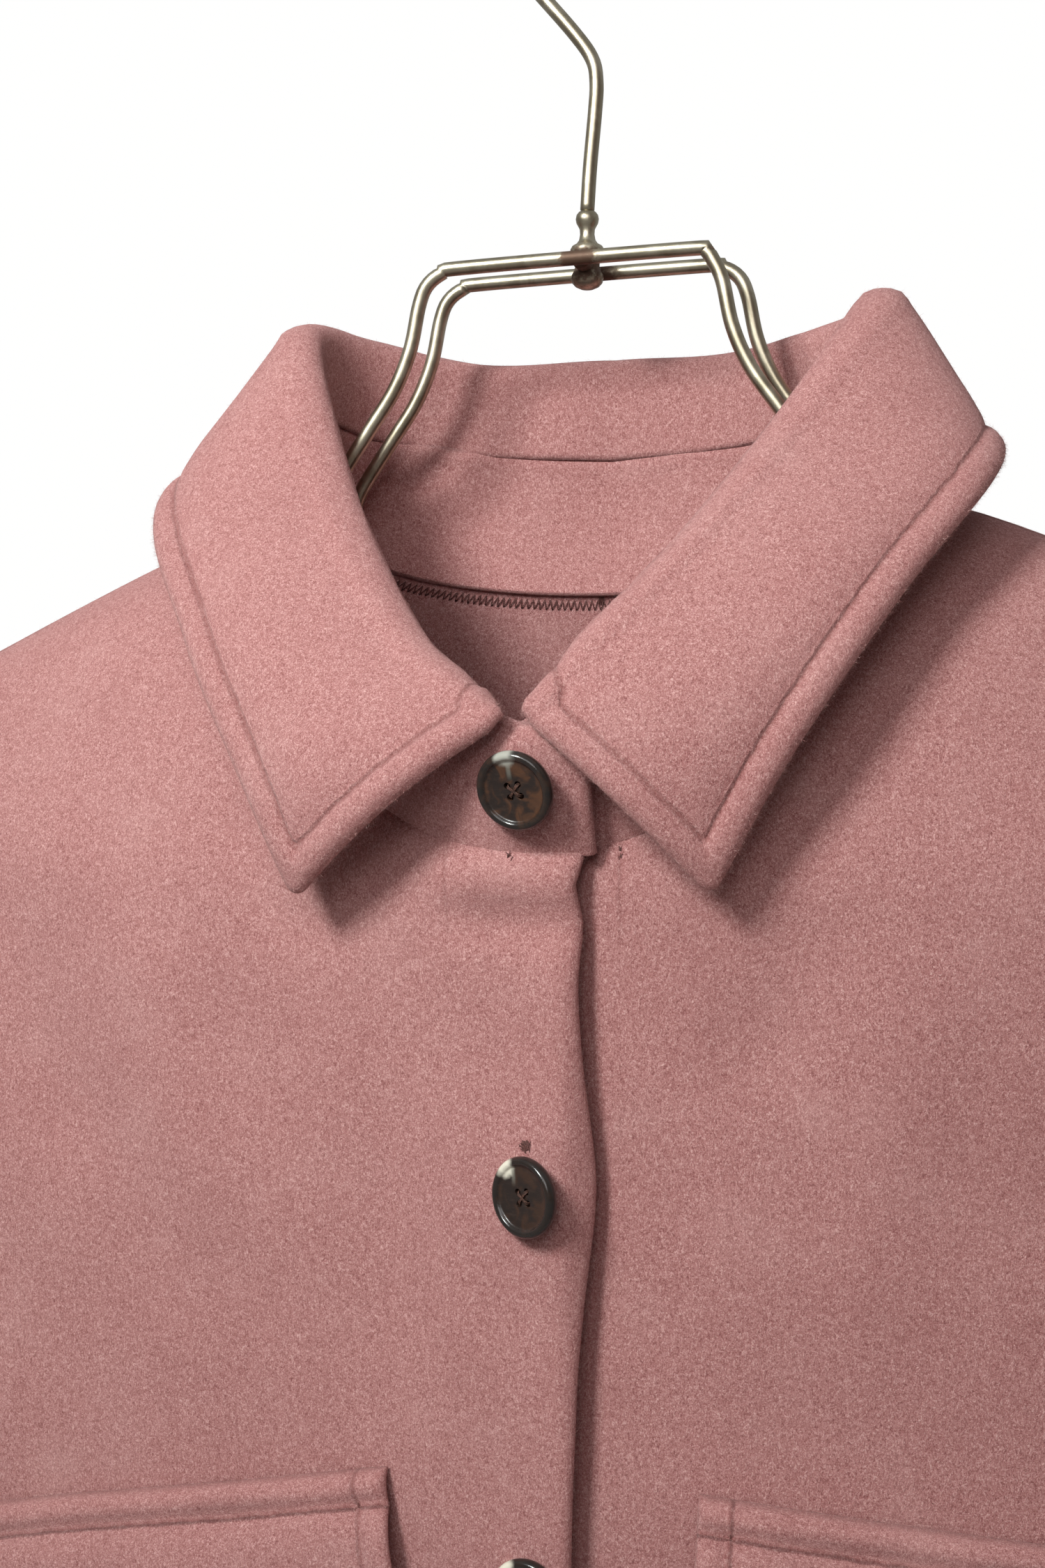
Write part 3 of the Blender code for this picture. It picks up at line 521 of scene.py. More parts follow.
    def armhole(self, turn: Array) -> Array:
        """The armhole.

        Args:
            turn: 0 at the shoulder, 1 at the underarm.

        Returns:
            Distance from the middle and height of each point.
        """
        tip = (self.shoulder_x, float(self.shoulder_z(self.shoulder_x)))
        pulls = np.array((tip, (0.197, -0.150), (0.186, -0.292), self.underarm))
        t = np.asarray(turn, dtype=float)[..., None]
        rest = 1.0 - t
        return (rest ** 3 * pulls[0] + 3 * rest ** 2 * t * pulls[1]
                + 3 * rest * t ** 2 * pulls[2] + t ** 3 * pulls[3])

    def side_border(self) -> tuple[Array, Array]:
        """Shoulder, armhole and side seam in one.

        Returns:
            The points, and how far down the panel each one is.
        """
        tip, underarm = 0.12, 0.36
        along = np.arange(16) / 16
        x = self.neck_half + (self.shoulder_x - self.neck_half) * along
        turns = np.arange(41) / 40
        side = np.arange(1, 71) / 70
        z = self.underarm[1] + (HEM_Z - self.underarm[1]) * side
        points = np.concatenate((np.stack((x, self.shoulder_z(x)), axis=-1),
                                 self.armhole(turns),
                                 np.stack((self.half_width(z), z), axis=-1)))
        down = np.concatenate((tip * along, tip + (underarm - tip) * turns,
                               underarm + (1.0 - underarm) * side))
        return points, down


def between(top: Array, bottom: Array, left: Array, right: Array, across: Array,
            down: Array) -> Array:
    """A grid between four borders.

    Args:
        top: points along the top.
        bottom: points along the bottom.
        left: points down the left side.
        right: points down the right side.
        across: share of each column.
        down: share of each row.

    Returns:
        Rows and columns of points.
    """
    f = across[None, :, None]
    g = down[:, None, None]
    ruled = (1 - g) * top + g * bottom + (1 - f) * left[:, None] + f * right[:, None]
    corners = ((1 - f) * (1 - g) * top[0] + f * (1 - g) * top[-1]
               + (1 - f) * g * bottom[0] + f * g * bottom[-1])
    return ruled - corners


def shares(line: Array) -> Array:
    """Share of a line's length at each of its points.

    Args:
        line: the points.

    Returns:
        Shares from 0 to 1.
    """
    steps = np.linalg.norm(np.diff(line, axis=0), axis=1)
    return np.concatenate(((0.0,), np.cumsum(steps))) / steps.sum()


@dataclass
class Seam:
    """A line on a cloth's face, with the way out of the cloth at each point."""

    points: Array
    normals: Array

    def part(self, keep: Array) -> "Seam":
        """The points that a mask keeps.

        Args:
            keep: true for each point that stays.

        Returns:
            The shorter line.
        """
        return Seam(self.points[keep], self.normals[keep])


@dataclass
class Cloth:
    """One cut piece of cloth, from a grid of points on its outer face.

    Free borders end in a round rim. seam is -1 for a piece that stays in front of the
    seam plane across Y, 1 for one behind it and 0 for any other.
    """

    name: str
    grid: Array
    inside: tuple[float, float, float] = (0.0, 1.0, 0.0)
    thick: float = CLOTH
    free: tuple[Border, ...] = ()
    ring: bool = False
    seam: int = 0
    lift: Array | float = 0.0
    deep: Array | float = 0.0
    marks: dict[str, Array | float] = field(default_factory=dict)
    normal: Array = field(init=False)

    def __post_init__(self) -> None:
        """Works out the normals of the grid as it is given."""
        self.normal = self._normals()

    def _normals(self) -> Array:
        """Averages the face normals round each point.

        Returns:
            A unit vector out of the cloth at each point.
        """
        grid = self.grid
        if self.ring:
            grid = np.concatenate((grid, grid[:, :1]), axis=1)
        one = grid[1:, 1:] - grid[:-1, :-1]
        two = grid[1:, :-1] - grid[:-1, 1:]
        face = unit(np.cross(one, two))
        total = np.zeros_like(grid)
        for r in (slice(None, -1), slice(1, None)):
            for c in (slice(None, -1), slice(1, None)):
                total[r, c] += face
        if self.ring:
            total[:, 0] += total[:, -1]
            total = total[:, :-1]
        normal = unit(total)
        r, c = self.grid.shape[0] // 2, self.grid.shape[1] // 2
        way = np.array(self.inside)
        if self.ring:
            way = self.grid[r].mean(axis=0) - self.grid[r, c]
        if float(normal[r, c] @ way) > 0.0:
            normal = -normal
        if self.seam:
            near = np.abs(self.grid[..., 1] - SEAM_Y) < 0.001
            normal[..., 1] = np.where(near, 0.0, normal[..., 1])
            normal = unit(normal)
        return normal

    def move(self, height: Array) -> None:
        """Moves the whole cloth along its normals.

        Args:
            height: how far out, at each point.
        """
        self.grid = self.grid + self.normal * np.asarray(height)[..., None]
        self.normal = self._normals()

    def border(self, which: Border) -> Array:
        """The points of one border.

        Args:
            which: the border.

        Returns:
            Its points.
        """
        ends = {Border.TOP: self.grid[0], Border.BOTTOM: self.grid[-1],
                Border.LEFT: self.grid[:, 0], Border.RIGHT: self.grid[:, -1]}
        line = ends[which]
        if self.ring:
            line = np.concatenate((line, line[:1]))
        return line

    def distance(self, *which: Border) -> Array:
        """Distance of every point from the nearest of some borders.

        Args:
            which: the borders.

        Returns:
            The distances.
        """
        return np.min([to_line(self.grid, self.border(one)) for one in which], axis=0)

    def faces(self) -> tuple[Array, Array]:
        """The outer and inner face.

        Returns:
            Two grids of points.
        """
        total = self.thick + np.asarray(self.lift) + np.asarray(self.deep)
        total = np.broadcast_to(total, self.grid.shape[:2])
        pinch = np.zeros(self.grid.shape[:2])
        if self.free:
            near = np.clip(self.distance(*self.free) / (0.55 * total), 0.0, 1.0)
            pinch = 0.5 * total * (1.0 - np.sqrt(1.0 - (1.0 - near) ** 2))
        outer = self.grid + self.normal * (self.lift - pinch)[..., None]
        inner = self.grid - self.normal * (total - self.lift - pinch)[..., None]
        if self.seam:
            limit = SEAM_Y + self.seam * SEAM_GAP
            for face in (outer, inner):
                keep = np.minimum if self.seam < 0 else np.maximum
                face[..., 1] = keep(face[..., 1], limit)
        return outer, inner

    def line(self, which: Border, inset: float, clear: dict[Border, float] | None = None,
             inner: bool = False) -> Seam:
        """A line at an even distance from a border.

        Args:
            which: the border.
            inset: the distance from it.
            clear: least distance from other borders.
            inner: on the inner face.

        Returns:
            The line.
        """
        face = self.faces()[1 if inner else 0]
        normal = -self.normal if inner else self.normal
        apart = self.distance(which)
        others = [self.distance(one) - least for one, least in (clear or {}).items()]
        room = np.min(others, axis=0) if others else np.ones(apart.shape)
        stack = np.concatenate((face, normal, apart[..., None], room[..., None]), axis=2)
        if which in (Border.LEFT, Border.RIGHT):
            stack = stack.transpose(1, 0, 2)
        if which in (Border.BOTTOM, Border.RIGHT):
            stack = stack[::-1]
        points = []
        for c in range(stack.shape[1]):
            run = stack[:, c]
            past = np.nonzero(run[:, 6] >= inset)[0]
            if len(past) == 0 or past[0] == 0:
                continue
            k = past[0]
            t = (inset - run[k - 1, 6]) / max(1e-9, run[k, 6] - run[k - 1, 6])
            here = run[k - 1] * (1.0 - t) + run[k] * t
            if here[7] > -1e-5:
                points.append(here[:6])
        if self.ring and points:
            points.append(points[0])
        found = np.array(points).reshape(-1, 6)
        return Seam(found[:, :3], unit(found[:, 3:]))

    def build(self, look: bpy.types.Material) -> bpy.types.Object:
        """Makes the closed mesh.

        Args:
            look: its material.

        Returns:
            The new object.
        """
        outer, inner = self.faces()
        rows, cols = self.grid.shape[:2]
        count = rows * cols
        spot = np.arange(count).reshape(rows, cols)
        if self.ring:
            spot = np.concatenate((spot, spot[:, :1]), axis=1)
        quads = np.stack((spot[:-1, :-1], spot[:-1, 1:], spot[1:, 1:], spot[1:, :-1]),
                         axis=-1).reshape(-1, 4)
        rims = [spot[0], spot[-1]]
        if not self.ring:
            rims += [spot[:, 0], spot[:, -1]]
        sides = [np.stack((one[:-1], one[1:], one[1:] + count, one[:-1] + count), axis=-1)
                 for one in rims]
        faces = np.concatenate([quads, quads[:, ::-1] + count] + sides)
        verts = np.concatenate((outer.reshape(-1, 3), inner.reshape(-1, 3)))
        obj = new_object(self.name, placed(verts), faces, look)
        for name, values in self.marks.items():
            layer = obj.data.attributes.new(name, "FLOAT", "POINT")
            flat = np.broadcast_to(values, (rows, cols)).reshape(-1)
            layer.data.foreach_set("value", np.tile(flat, 2).astype(np.float32))
        weld(obj)
        return obj

    def dress(self, look: bpy.types.Material, held: str, rests_on: Sequence[str]) -> None:
        """Builds the piece in the place of its node.

        Args:
            look: its material.
            held: how the cloth is held; not used.
            rests_on: what it hangs from or lies on; not used.
        """
        obj = self.build(look)
        node = self.name.replace("cloth_", "")
        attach(obj, "root")
        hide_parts(node)
        self._declare(obj)

    def _declare(self, obj: bpy.types.Object) -> None:
        """Args:
            obj: the built piece.
        """
        grid = self.grid
        if self.ring:
            grid = np.concatenate((grid, grid[:, :1]), axis=1)
        across = np.linalg.norm(np.diff(grid, axis=1), axis=2).sum(axis=1).max()
        down = np.linalg.norm(np.diff(grid, axis=0), axis=2).sum(axis=0).max()
        one = grid[1:, 1:] - grid[:-1, :-1]
        two = grid[1:, :-1] - grid[:-1, 1:]
        area = 0.5 * np.linalg.norm(np.cross(one, two), axis=2).sum()
        flat = (float(across), float(down))
        area = min(float(area), flat[0] * flat[1])
        LOG.info("%s: %.0f x %.0f mm, %.4f m2", obj.name, flat[0] * 1e3, flat[1] * 1e3, area)


def new_object(name: str, verts: Array, faces: Array | Sequence[Sequence[int]],
               look: bpy.types.Material) -> bpy.types.Object:
    """A smooth mesh object in the scene.

    Args:
        name: its name.
        verts: points in the frame's place.
        faces: corner numbers of each face.
        look: its material.

    Returns:
        The new object.
    """
    mesh = bpy.data.meshes.new(name)
    mesh.from_pydata(np.asarray(verts).tolist(), [], [tuple(map(int, f)) for f in faces])
    mesh.polygons.foreach_set("use_smooth", [True] * len(mesh.polygons))
    mesh.materials.append(look)
    obj = bpy.data.objects.new(name, mesh)
    bpy.context.scene.collection.objects.link(obj)
    return obj


def weld(obj: bpy.types.Object, apart: float = 2e-6) -> None:
    """Joins points that coincide and turns the faces outwards.

    Args:
        obj: the object.
        apart: how near points are joined.
    """
    work = bmesh.new()
    work.from_mesh(obj.data)
    bmesh.ops.remove_doubles(work, verts=work.verts, dist=apart)
    bmesh.ops.dissolve_degenerate(work, edges=work.edges, dist=1e-7)
    bmesh.ops.recalc_face_normals(work, faces=work.faces)
    work.to_mesh(obj.data)
    work.free()


@dataclass
class Sewing:
    """Stitches gathered into one piece of thread."""

    name: str
    pitch: float = 0.0033
    length: float = 0.0026
    radius: float = 0.00026
    sink: float = 0.00022
    starts: list[Array] = field(default_factory=list)
    ends: list[Array] = field(default_factory=list)
    normals: list[Array] = field(default_factory=list)

    def run(self, seam: Seam) -> None:
        """Adds a row of even stitches along a line.

        Args:
            seam: the line.
        """
        if len(seam.points) < 2:
            return
        gaps = np.linalg.norm(np.diff(seam.points, axis=0), axis=1)
        walked = np.concatenate(((0.0,), np.cumsum(gaps)))
        first = np.arange(0.001, walked[-1] - self.length, self.pitch)

        def at(place: Array, values: Array) -> Array:
            """Reads values along the line."""
            return np.stack([np.interp(place, walked, values[:, k]) for k in range(3)], axis=1)

        self.starts.append(at(first, seam.points))
        self.ends.append(at(first + self.length, seam.points))
        self.normals.append(unit(at(first + 0.5 * self.length, seam.normals)))

    def bars(self, starts: Array, ends: Array, normals: Array) -> None:
        """Adds single stitches.

        Args:
            starts: where each one comes up.
            ends: where it goes down.
            normals: the way out of the cloth.
        """
        self.starts.append(np.asarray(starts, dtype=float))
        self.ends.append(np.asarray(ends, dtype=float))
        self.normals.append(unit(normals))

    def build(self, look: bpy.types.Material, slot: str) -> bpy.types.Object:
        """Makes all the stitches.

        Args:
            look: the thread's material.
            slot: the record's slot that the thread belongs to; not used.

        Returns:
            The new object.
        """
        start = np.concatenate(self.starts)
        run = np.concatenate(self.ends) - start
        out = np.concatenate(self.normals)
        side = unit(np.cross(run, out))
        rings = ((0.0, 0.45, -0.9), (0.22, 1.0, 0.35), (0.78, 1.0, 0.35), (1.0, 0.45, -0.9))
        points = []
        for t, share, rise in rings:
            centre = start + run * t + out * (self.radius * rise - self.sink)
            for k in range(4):
                turn = 0.5 * math.pi * (k + 0.5)
                spoke = side * math.cos(turn) + out * math.sin(turn)
                points.append(centre + spoke * self.radius * share)
        verts = np.stack(points, axis=1).reshape(-1, 3)
        one = []
        for r in range(3):
            for k in range(4):
                m = (k + 1) % 4
                one.append((r * 4 + k, r * 4 + m, r * 4 + 4 + m, r * 4 + 4 + k))
        one += [(3, 2, 1, 0), (12, 13, 14, 15)]
        faces = (np.array(one)[None] + np.arange(len(start))[:, None, None] * 16)
        obj = new_object(self.name, placed(verts), faces.reshape(-1, 4), look)
        weld(obj, 1e-7)
        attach(obj, "root")
        return obj


@dataclass
class Fuzz:
    """Fine loose fibres that stand off brushed cloth, gathered into one piece."""

    name: str
    seed: int
    verts: list[Array] = field(default_factory=list)

    def grow(self, cloth: Cloth, count: int, length: float, stand: float,
             weight: Array | None = None, inner: bool = False) -> None:
        """Adds fibres on a cloth.

        Args:
            cloth: what they grow on.
            count: how many.
            length: their mean length.
            stand: how steeply they stand, 0 to 1.
            weight: how thickly they grow at each grid point.
            inner: on the inner face.
        """
        rng = np.random.default_rng(self.seed + len(self.verts))
        face = cloth.faces()[1 if inner else 0]
        normal = -cloth.normal if inner else cloth.normal
        one = face[1:, 1:] - face[:-1, :-1]
        two = face[1:, :-1] - face[:-1, 1:]
        chance = np.linalg.norm(np.cross(one, two), axis=2)
        if weight is not None:
            chance = chance * weight[:-1, :-1]
        flat = chance.reshape(-1)
        cells = rng.choice(len(flat), size=count, p=flat / flat.sum())
        r, c = np.divmod(cells, chance.shape[1])
        u, v = rng.random((2, count, 1))
        root = ((1 - u) * (1 - v) * face[r, c] + u * (1 - v) * face[r, c + 1]
                + (1 - u) * v * face[r + 1, c] + u * v * face[r + 1, c + 1])
        out = normal[r, c]
        lay = rng.normal(size=(count, 3))
        lay = unit(lay - out * np.sum(lay * out, axis=1, keepdims=True))
        rise = stand * rng.uniform(0.15, 1.0, size=(count, 1))
        way = unit(lay * (1.0 - rise) + out * rise)
        curl = unit(np.cross(way, rng.normal(size=(count, 3))))
        size = length * rng.uniform(0.5, 1.5, size=(count, 1))
        wide = unit(np.cross(way, rng.normal(size=(count, 3)))) * 0.000022
        root = root - out * 0.00012
        middle = root + way * size * 0.5 + curl * size * 0.10
        tip = root + way * size * 0.9 + curl * size * 0.42 - out * size * 0.12
        self.verts.append(np.stack((root - wide, root + wide, middle + wide * 0.8,
                                    middle - wide * 0.8, tip), axis=1).reshape(-1, 3))

    def build(self, look: bpy.types.Material, slot: str) -> bpy.types.Object:
        """Makes all the fibres.

        Args:
            look: the fibres' material.
            slot: the record's slot that they belong to; not used.

        Returns:
            The new object.
        """
        verts = np.concatenate(self.verts)
        count = len(verts) // 5
        base = (np.arange(count) * 5)[:, None]
        quads = (base + np.array((0, 1, 2, 3))).tolist()
        tips = (base + np.array((3, 2, 4))).tolist()
        obj = new_object(self.name, placed(verts), quads + tips, look)
        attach(obj, "root")
        LOG.info("%s: %d fibres", self.name, count)
        return obj


class Graph:
    """The node tree of one material."""

    def __init__(self, name: str) -> None:
        """Starts a material with only its output.

        Args:
            name: the material's name.
        """
        self.material = bpy.data.materials.new(name)
        self.material.use_nodes = True
        self.tree = self.material.node_tree
        self.tree.nodes.clear()
        self.output = self.tree.nodes.new("ShaderNodeOutputMaterial")

    def node(self, kind: str, settings: dict[str, Any] | None = None,
             inputs: dict[int | str, Any] | None = None) -> bpy.types.Node:
        """Adds any node.

        Args:
            kind: the node's type.
            settings: its own properties.
            inputs: socket values or wires, by index or name.

        Returns:
            The node.
        """
        made = self.tree.nodes.new(kind)
        for key, value in (settings or {}).items():
            setattr(made, key, value)
        for key, value in (inputs or {}).items():
            if isinstance(value, Wire):
                self.tree.links.new(value.socket, made.inputs[key])
            else:
                made.inputs[key].default_value = value
        return made

    def wire(self, kind: str, settings: dict[str, Any] | None = None,
             inputs: dict[int | str, Any] | None = None, out: int | str = 0) -> "Wire":
        """Adds a node and returns one of its outputs.

        Args:
            kind: the node's type.
            settings: its own properties.
            inputs: socket values or wires.
            out: which output.

        Returns:
            The output as a wire.
        """
        return Wire(self, self.node(kind, settings, inputs).outputs[out])

    def place(self, scale: tuple[float, float, float] = (1.0, 1.0, 1.0),
              turn: float = 0.0) -> "Wire":
        """The point in the object's own metres.

        Args:
            scale: stretch along each axis.
            turn: degrees that the point is first turned about the depth.

        Returns:
            The stretched point.
        """
        point = self.wire("ShaderNodeTexCoord", out="Object")
        if turn:
            point = self.wire("ShaderNodeVectorRotate", {"rotation_type": "Y_AXIS"},
                              {"Vector": point, "Angle": math.radians(turn)})
        return self.wire("ShaderNodeVectorMath", {"operation": "MULTIPLY"},
                         {0: point, 1: scale})

    def noise(self, scale: float, detail: float = 2.0, rough: float = 0.5,
              twist: float = 0.0, stretch: tuple[float, float, float] = (1.0, 1.0, 1.0),
              turn: float = 0.0) -> "Wire":
        """Soft noise from about 0 to 1.

        Args:
            scale: features to a metre.
            detail: finer layers.
            rough: their strength.
            twist: distortion.
            stretch: share of the scale along each axis.
            turn: degrees that the stretch is turned about the depth.

        Returns:
            The noise.
        """
        return self.wire("ShaderNodeTexNoise", inputs={
            "Vector": self.place(stretch, turn), "Scale": scale, "Detail": detail,
            "Roughness": rough, "Distortion": twist}, out="Fac")

    def mark(self, name: str) -> "Wire":
        """A value stored on the mesh.

        Args:
            name: the value's name.

        Returns:
            The value.
        """
        return self.wire("ShaderNodeAttribute", {"attribute_name": name}, out="Fac")

    def mix(self, share: "Wire | float", first: "Wire | Colour",
            second: "Wire | Colour") -> "Wire":
        """A mix of two colours.

        Args:
            share: how much of the second.
            first: the first colour.
            second: the second colour.

        Returns:
            The mixed colour.
        """
        return self.wire("ShaderNodeMix", {"data_type": "RGBA"},
                         {0: share, 6: first, 7: second}, out=2)

    def finish(self, values: dict[str, Any], bump: "Wire | None" = None,
               depth: float = 0.001) -> bpy.types.Material:
        """Adds the shader.

        Args:
            values: inputs of the Principled shader.
            bump: height that bends the light, from 0 to 1.
            depth: what that height is in metres.

        Returns:
            The material.
        """
        if bump is not None:
            values["Normal"] = self.wire("ShaderNodeBump", inputs={
                "Strength": 1.0, "Distance": depth, "Height": bump}, out="Normal")
        shader = self.node("ShaderNodeBsdfPrincipled", inputs=values)
        self.tree.links.new(shader.outputs[0], self.output.inputs[0])
        return self.material


@dataclass(frozen=True)
class Wire:
    """One socket of a graph, which takes part in sums."""

    graph: Graph
    socket: bpy.types.NodeSocket

    def _with(self, operation: str, *values: "Wire | float") -> "Wire":
        """One maths node.

        Args:
            operation: its operation.
            values: its inputs.

        Returns:
            Its result.
        """
        return self.graph.wire("ShaderNodeMath", {"operation": operation},
                               dict(enumerate(values)))

    def __add__(self, other: "Wire | float") -> "Wire":
        """Adds."""
        return self._with("ADD", self, other)

    def __radd__(self, other: float) -> "Wire":
        """Adds to a number."""
        return self._with("ADD", other, self)

    def __sub__(self, other: "Wire | float") -> "Wire":
        """Subtracts."""
        return self._with("SUBTRACT", self, other)

    def __rsub__(self, other: float) -> "Wire":
        """Subtracts from a number."""
        return self._with("SUBTRACT", other, self)

    def __mul__(self, other: "Wire | float") -> "Wire":
        """Multiplies."""
        return self._with("MULTIPLY", self, other)

    def __rmul__(self, other: float) -> "Wire":
        """Multiplies a number."""
        return self._with("MULTIPLY", other, self)

    def __truediv__(self, other: "Wire | float") -> "Wire":
        """Divides."""
        return self._with("DIVIDE", self, other)

    def __rtruediv__(self, other: float) -> "Wire":
        """Divides a number."""
        return self._with("DIVIDE", other, self)

    def __abs__(self) -> "Wire":
        """Drops the sign."""
        return self._with("ABSOLUTE", self)

    def __pow__(self, other: float) -> "Wire":
        """Raises to a power."""
        return self._with("POWER", self, other)

    def step(self, low: float, high: float) -> "Wire":
        """A soft step as this value goes from low to high.

        Args:
            low: where the step starts.
            high: where it ends.

        Returns:
            A value from 0 to 1.
        """
        return self.graph.wire("ShaderNodeMapRange", {"interpolation_type": "SMOOTHSTEP"},
                               {"Value": self, "From Min": low, "From Max": high,
                                "To Min": 0.0, "To Max": 1.0})

    def part(self, axis: str) -> "Wire":
        """One axis of a vector.

        Args:
            axis: X, Y or Z.

        Returns:
            The value along it.
        """
        return self.graph.wire("ShaderNodeSeparateXYZ", inputs={0: self}, out=axis)


@dataclass(frozen=True)
class Wool:
    """Brushed melton wool: a felted ground with pale and dark fibres, and painted shade in its
    grooves and seams.
    """

    name: str = "wool"
    ground: Colour = (0.435, 0.196, 0.186, 1.0)
    dark: Colour = (0.235, 0.080, 0.077, 1.0)
    pale: Colour = (0.720, 0.455, 0.428, 1.0)
    # Colour of the painted shade in stitch grooves, along seams and under the lapping front's
    # edge.
    painted_shade: Colour = (0.165, 0.048, 0.042, 1.0)
    sheen: float = 0.16

    def build(self) -> bpy.types.Material:
        """Makes the material.

        Returns:
            The material.
        """
        g = Graph(self.name)
        felt = g.noise(900.0, 3.0, 0.60, 0.8)
        nap = g.noise(1.0, 2.0, 0.60, 0.9, stretch=(4700.0, 4700.0, 1400.0))
        cross = g.noise(1.0, 2.0, 0.60, 1.0, stretch=(1800.0, 3000.0, 5200.0))
        slant = g.noise(1.0, 1.5, 0.65, 0.0, stretch=(1600.0, 3000.0, 5300.0), turn=48.0)
        other = g.noise(1.0, 1.5, 0.65, 0.0, stretch=(1600.0, 3000.0, 5300.0), turn=-44.0)
        cloud = g.noise(40.0, 3.0, 0.55)
        hair = g.wire("ShaderNodeMath", {"operation": "MAXIMUM"}, {0: slant, 1: other})
        hair = g.wire("ShaderNodeMath", {"operation": "MAXIMUM"}, {0: hair, 1: nap})
        tone = felt * 0.55 + nap * 0.95 + cross * 0.75 + slant * 0.6 + other * 0.6 - 1.725
        colour = g.mix((0.0 - tone).step(0.0, 0.28) * 0.95, self.ground, self.dark)
        colour = g.mix(tone.step(0.0, 0.31) * 0.85, colour, self.pale)
        colour = g.mix(hair.step(0.66, 0.78) * 0.60, colour, self.pale)
        colour = g.mix((cloud - 0.5).step(0.0, 0.35) * 0.16, colour, self.pale)
        colour = g.mix((0.5 - cloud).step(0.0, 0.35) * 0.16, colour, self.dark)
        uneven = g.noise(260.0, 2.0, 0.5) * 0.0010 - 0.0005
        line = abs(g.mark("stitch") + uneven)
        second = abs(g.mark("stitch_b") + uneven)
        dip = 1.0 - line.step(0.0, 0.0011)
        dip_b = 1.0 - second.step(0.0, 0.0011)
        sunk = g.wire("ShaderNodeMath", {"operation": "MAXIMUM"}, {0: dip, 1: dip_b})
        sunk = sunk * (1.0 - g.mark("worn"))
        # Painted shade: the cloth is darkened in the stitch grooves, less where the groove
        # fades.
        colour = g.mix(sunk * 0.42, colour, self.painted_shade)
        # Painted shade: the seam mark darkens the cloth along seams, at overlaps and under the
        # lapping front's edge.
        seam = 1.0 - g.mark("seam").step(0.0, 0.0016)
        colour = g.mix(seam * 0.30, colour, self.painted_shade)
        height = felt * 0.32 + nap * 0.42 + cross * 0.30 - sunk * 1.0 - seam * 0.6
        return g.finish({
            "Base Color": colour, "Roughness": 0.95, "Specular IOR Level": 0.15,
            "Sheen Weight": self.sheen, "Sheen Roughness": 0.45,
            "Sheen Tint": (0.93, 0.78, 0.77, 1.0)}, height, 0.00050)


@dataclass(frozen=True)
class Fibre:
    """The loose fibres of brushed wool."""

    name: str = "wool_fibre"
    colour: Colour = (0.40, 0.178, 0.162, 1.0)
    pale: Colour = (0.72, 0.465, 0.43, 1.0)

    def build(self) -> bpy.types.Material:
        """Makes the material.

        Returns:
            The material.
        """
        g = Graph(self.name)
        tone = g.noise(1400.0, 1.0)
        colour = g.mix(tone.step(0.42, 0.66), self.colour, self.pale)
        return g.finish({"Base Color": colour, "Roughness": 0.8,
                         "Specular IOR Level": 0.2})


@dataclass(frozen=True)
class ThreadFinish:
    """Twisted sewing thread."""

    name: str
    colour: Colour
    pale: Colour
    rough: float = 0.62

    def build(self) -> bpy.types.Material:
        """Makes the material.

        Returns:
            The material.
        """
        g = Graph(self.name)
        ply = g.noise(2600.0, 2.0, 0.5, 0.5)
        colour = g.mix(ply.step(0.35, 0.70), self.colour, self.pale)
        return g.finish({"Base Color": colour, "Roughness": self.rough,
                         "Specular IOR Level": 0.3}, ply, 0.0001)


@dataclass(frozen=True)
class Horn:
    """Polished horn: near black, with amber clouds and one pale patch by the rim."""

    name: str
    patch: tuple[float, float]
    pale: Colour = (0.62, 0.60, 0.50, 1.0)
    amber_share: float = 0.75

    def build(self) -> bpy.types.Material:
        """Makes the material; its points are the button's own.

        Returns:
            The material.
        """
        g = Graph(self.name)
        point = g.place()
        x, y = point.part("X"), point.part("Y")
        cloud = g.noise(210.0, 4.0, 0.55, 1.2)
        grain = g.noise(1.0, 3.0, 0.6, 0.6, stretch=(420.0, 1900.0, 420.0))
        colour = g.mix(cloud.step(0.40, 0.70) * self.amber_share, (0.020, 0.013, 0.011, 1.0),
                       (0.100, 0.042, 0.020, 1.0))
        colour = g.mix(grain.step(0.50, 0.80) * 0.30, colour, (0.070, 0.048, 0.038, 1.0))
        radius = (x * x + y * y) ** 0.5
        rim = radius.step(0.0074, 0.0084)
        colour = g.mix(rim * 0.72, colour, (0.017, 0.015, 0.014, 1.0))
        far = ((x - self.patch[0]) ** 2.0 + (y - self.patch[1]) ** 2.0) ** 0.5
        near = 1.0 - (far + g.noise(330.0, 3.0) * 0.0026 - 0.0013).step(0.0014, 0.0034)
        colour = g.mix(near * 0.92, colour, self.pale)
        streak = 1.0 - abs(x - self.patch[0] * 0.55).step(0.0002, 0.0009)
        streak = streak * y.step(0.0022, 0.0050) * (1.0 - y.step(0.0060, 0.0078))
        colour = g.mix(streak * 0.5, colour, (0.20, 0.20, 0.17, 1.0))
        rough = 0.30 + grain * 0.10 - rim * 0.14
        return g.finish({"Base Color": colour, "Roughness": rough, "IOR": 1.40,
                         "Coat Weight": 0.18, "Coat Roughness": 0.12},
                        grain * 0.4 + cloud * 0.6, 0.00008)


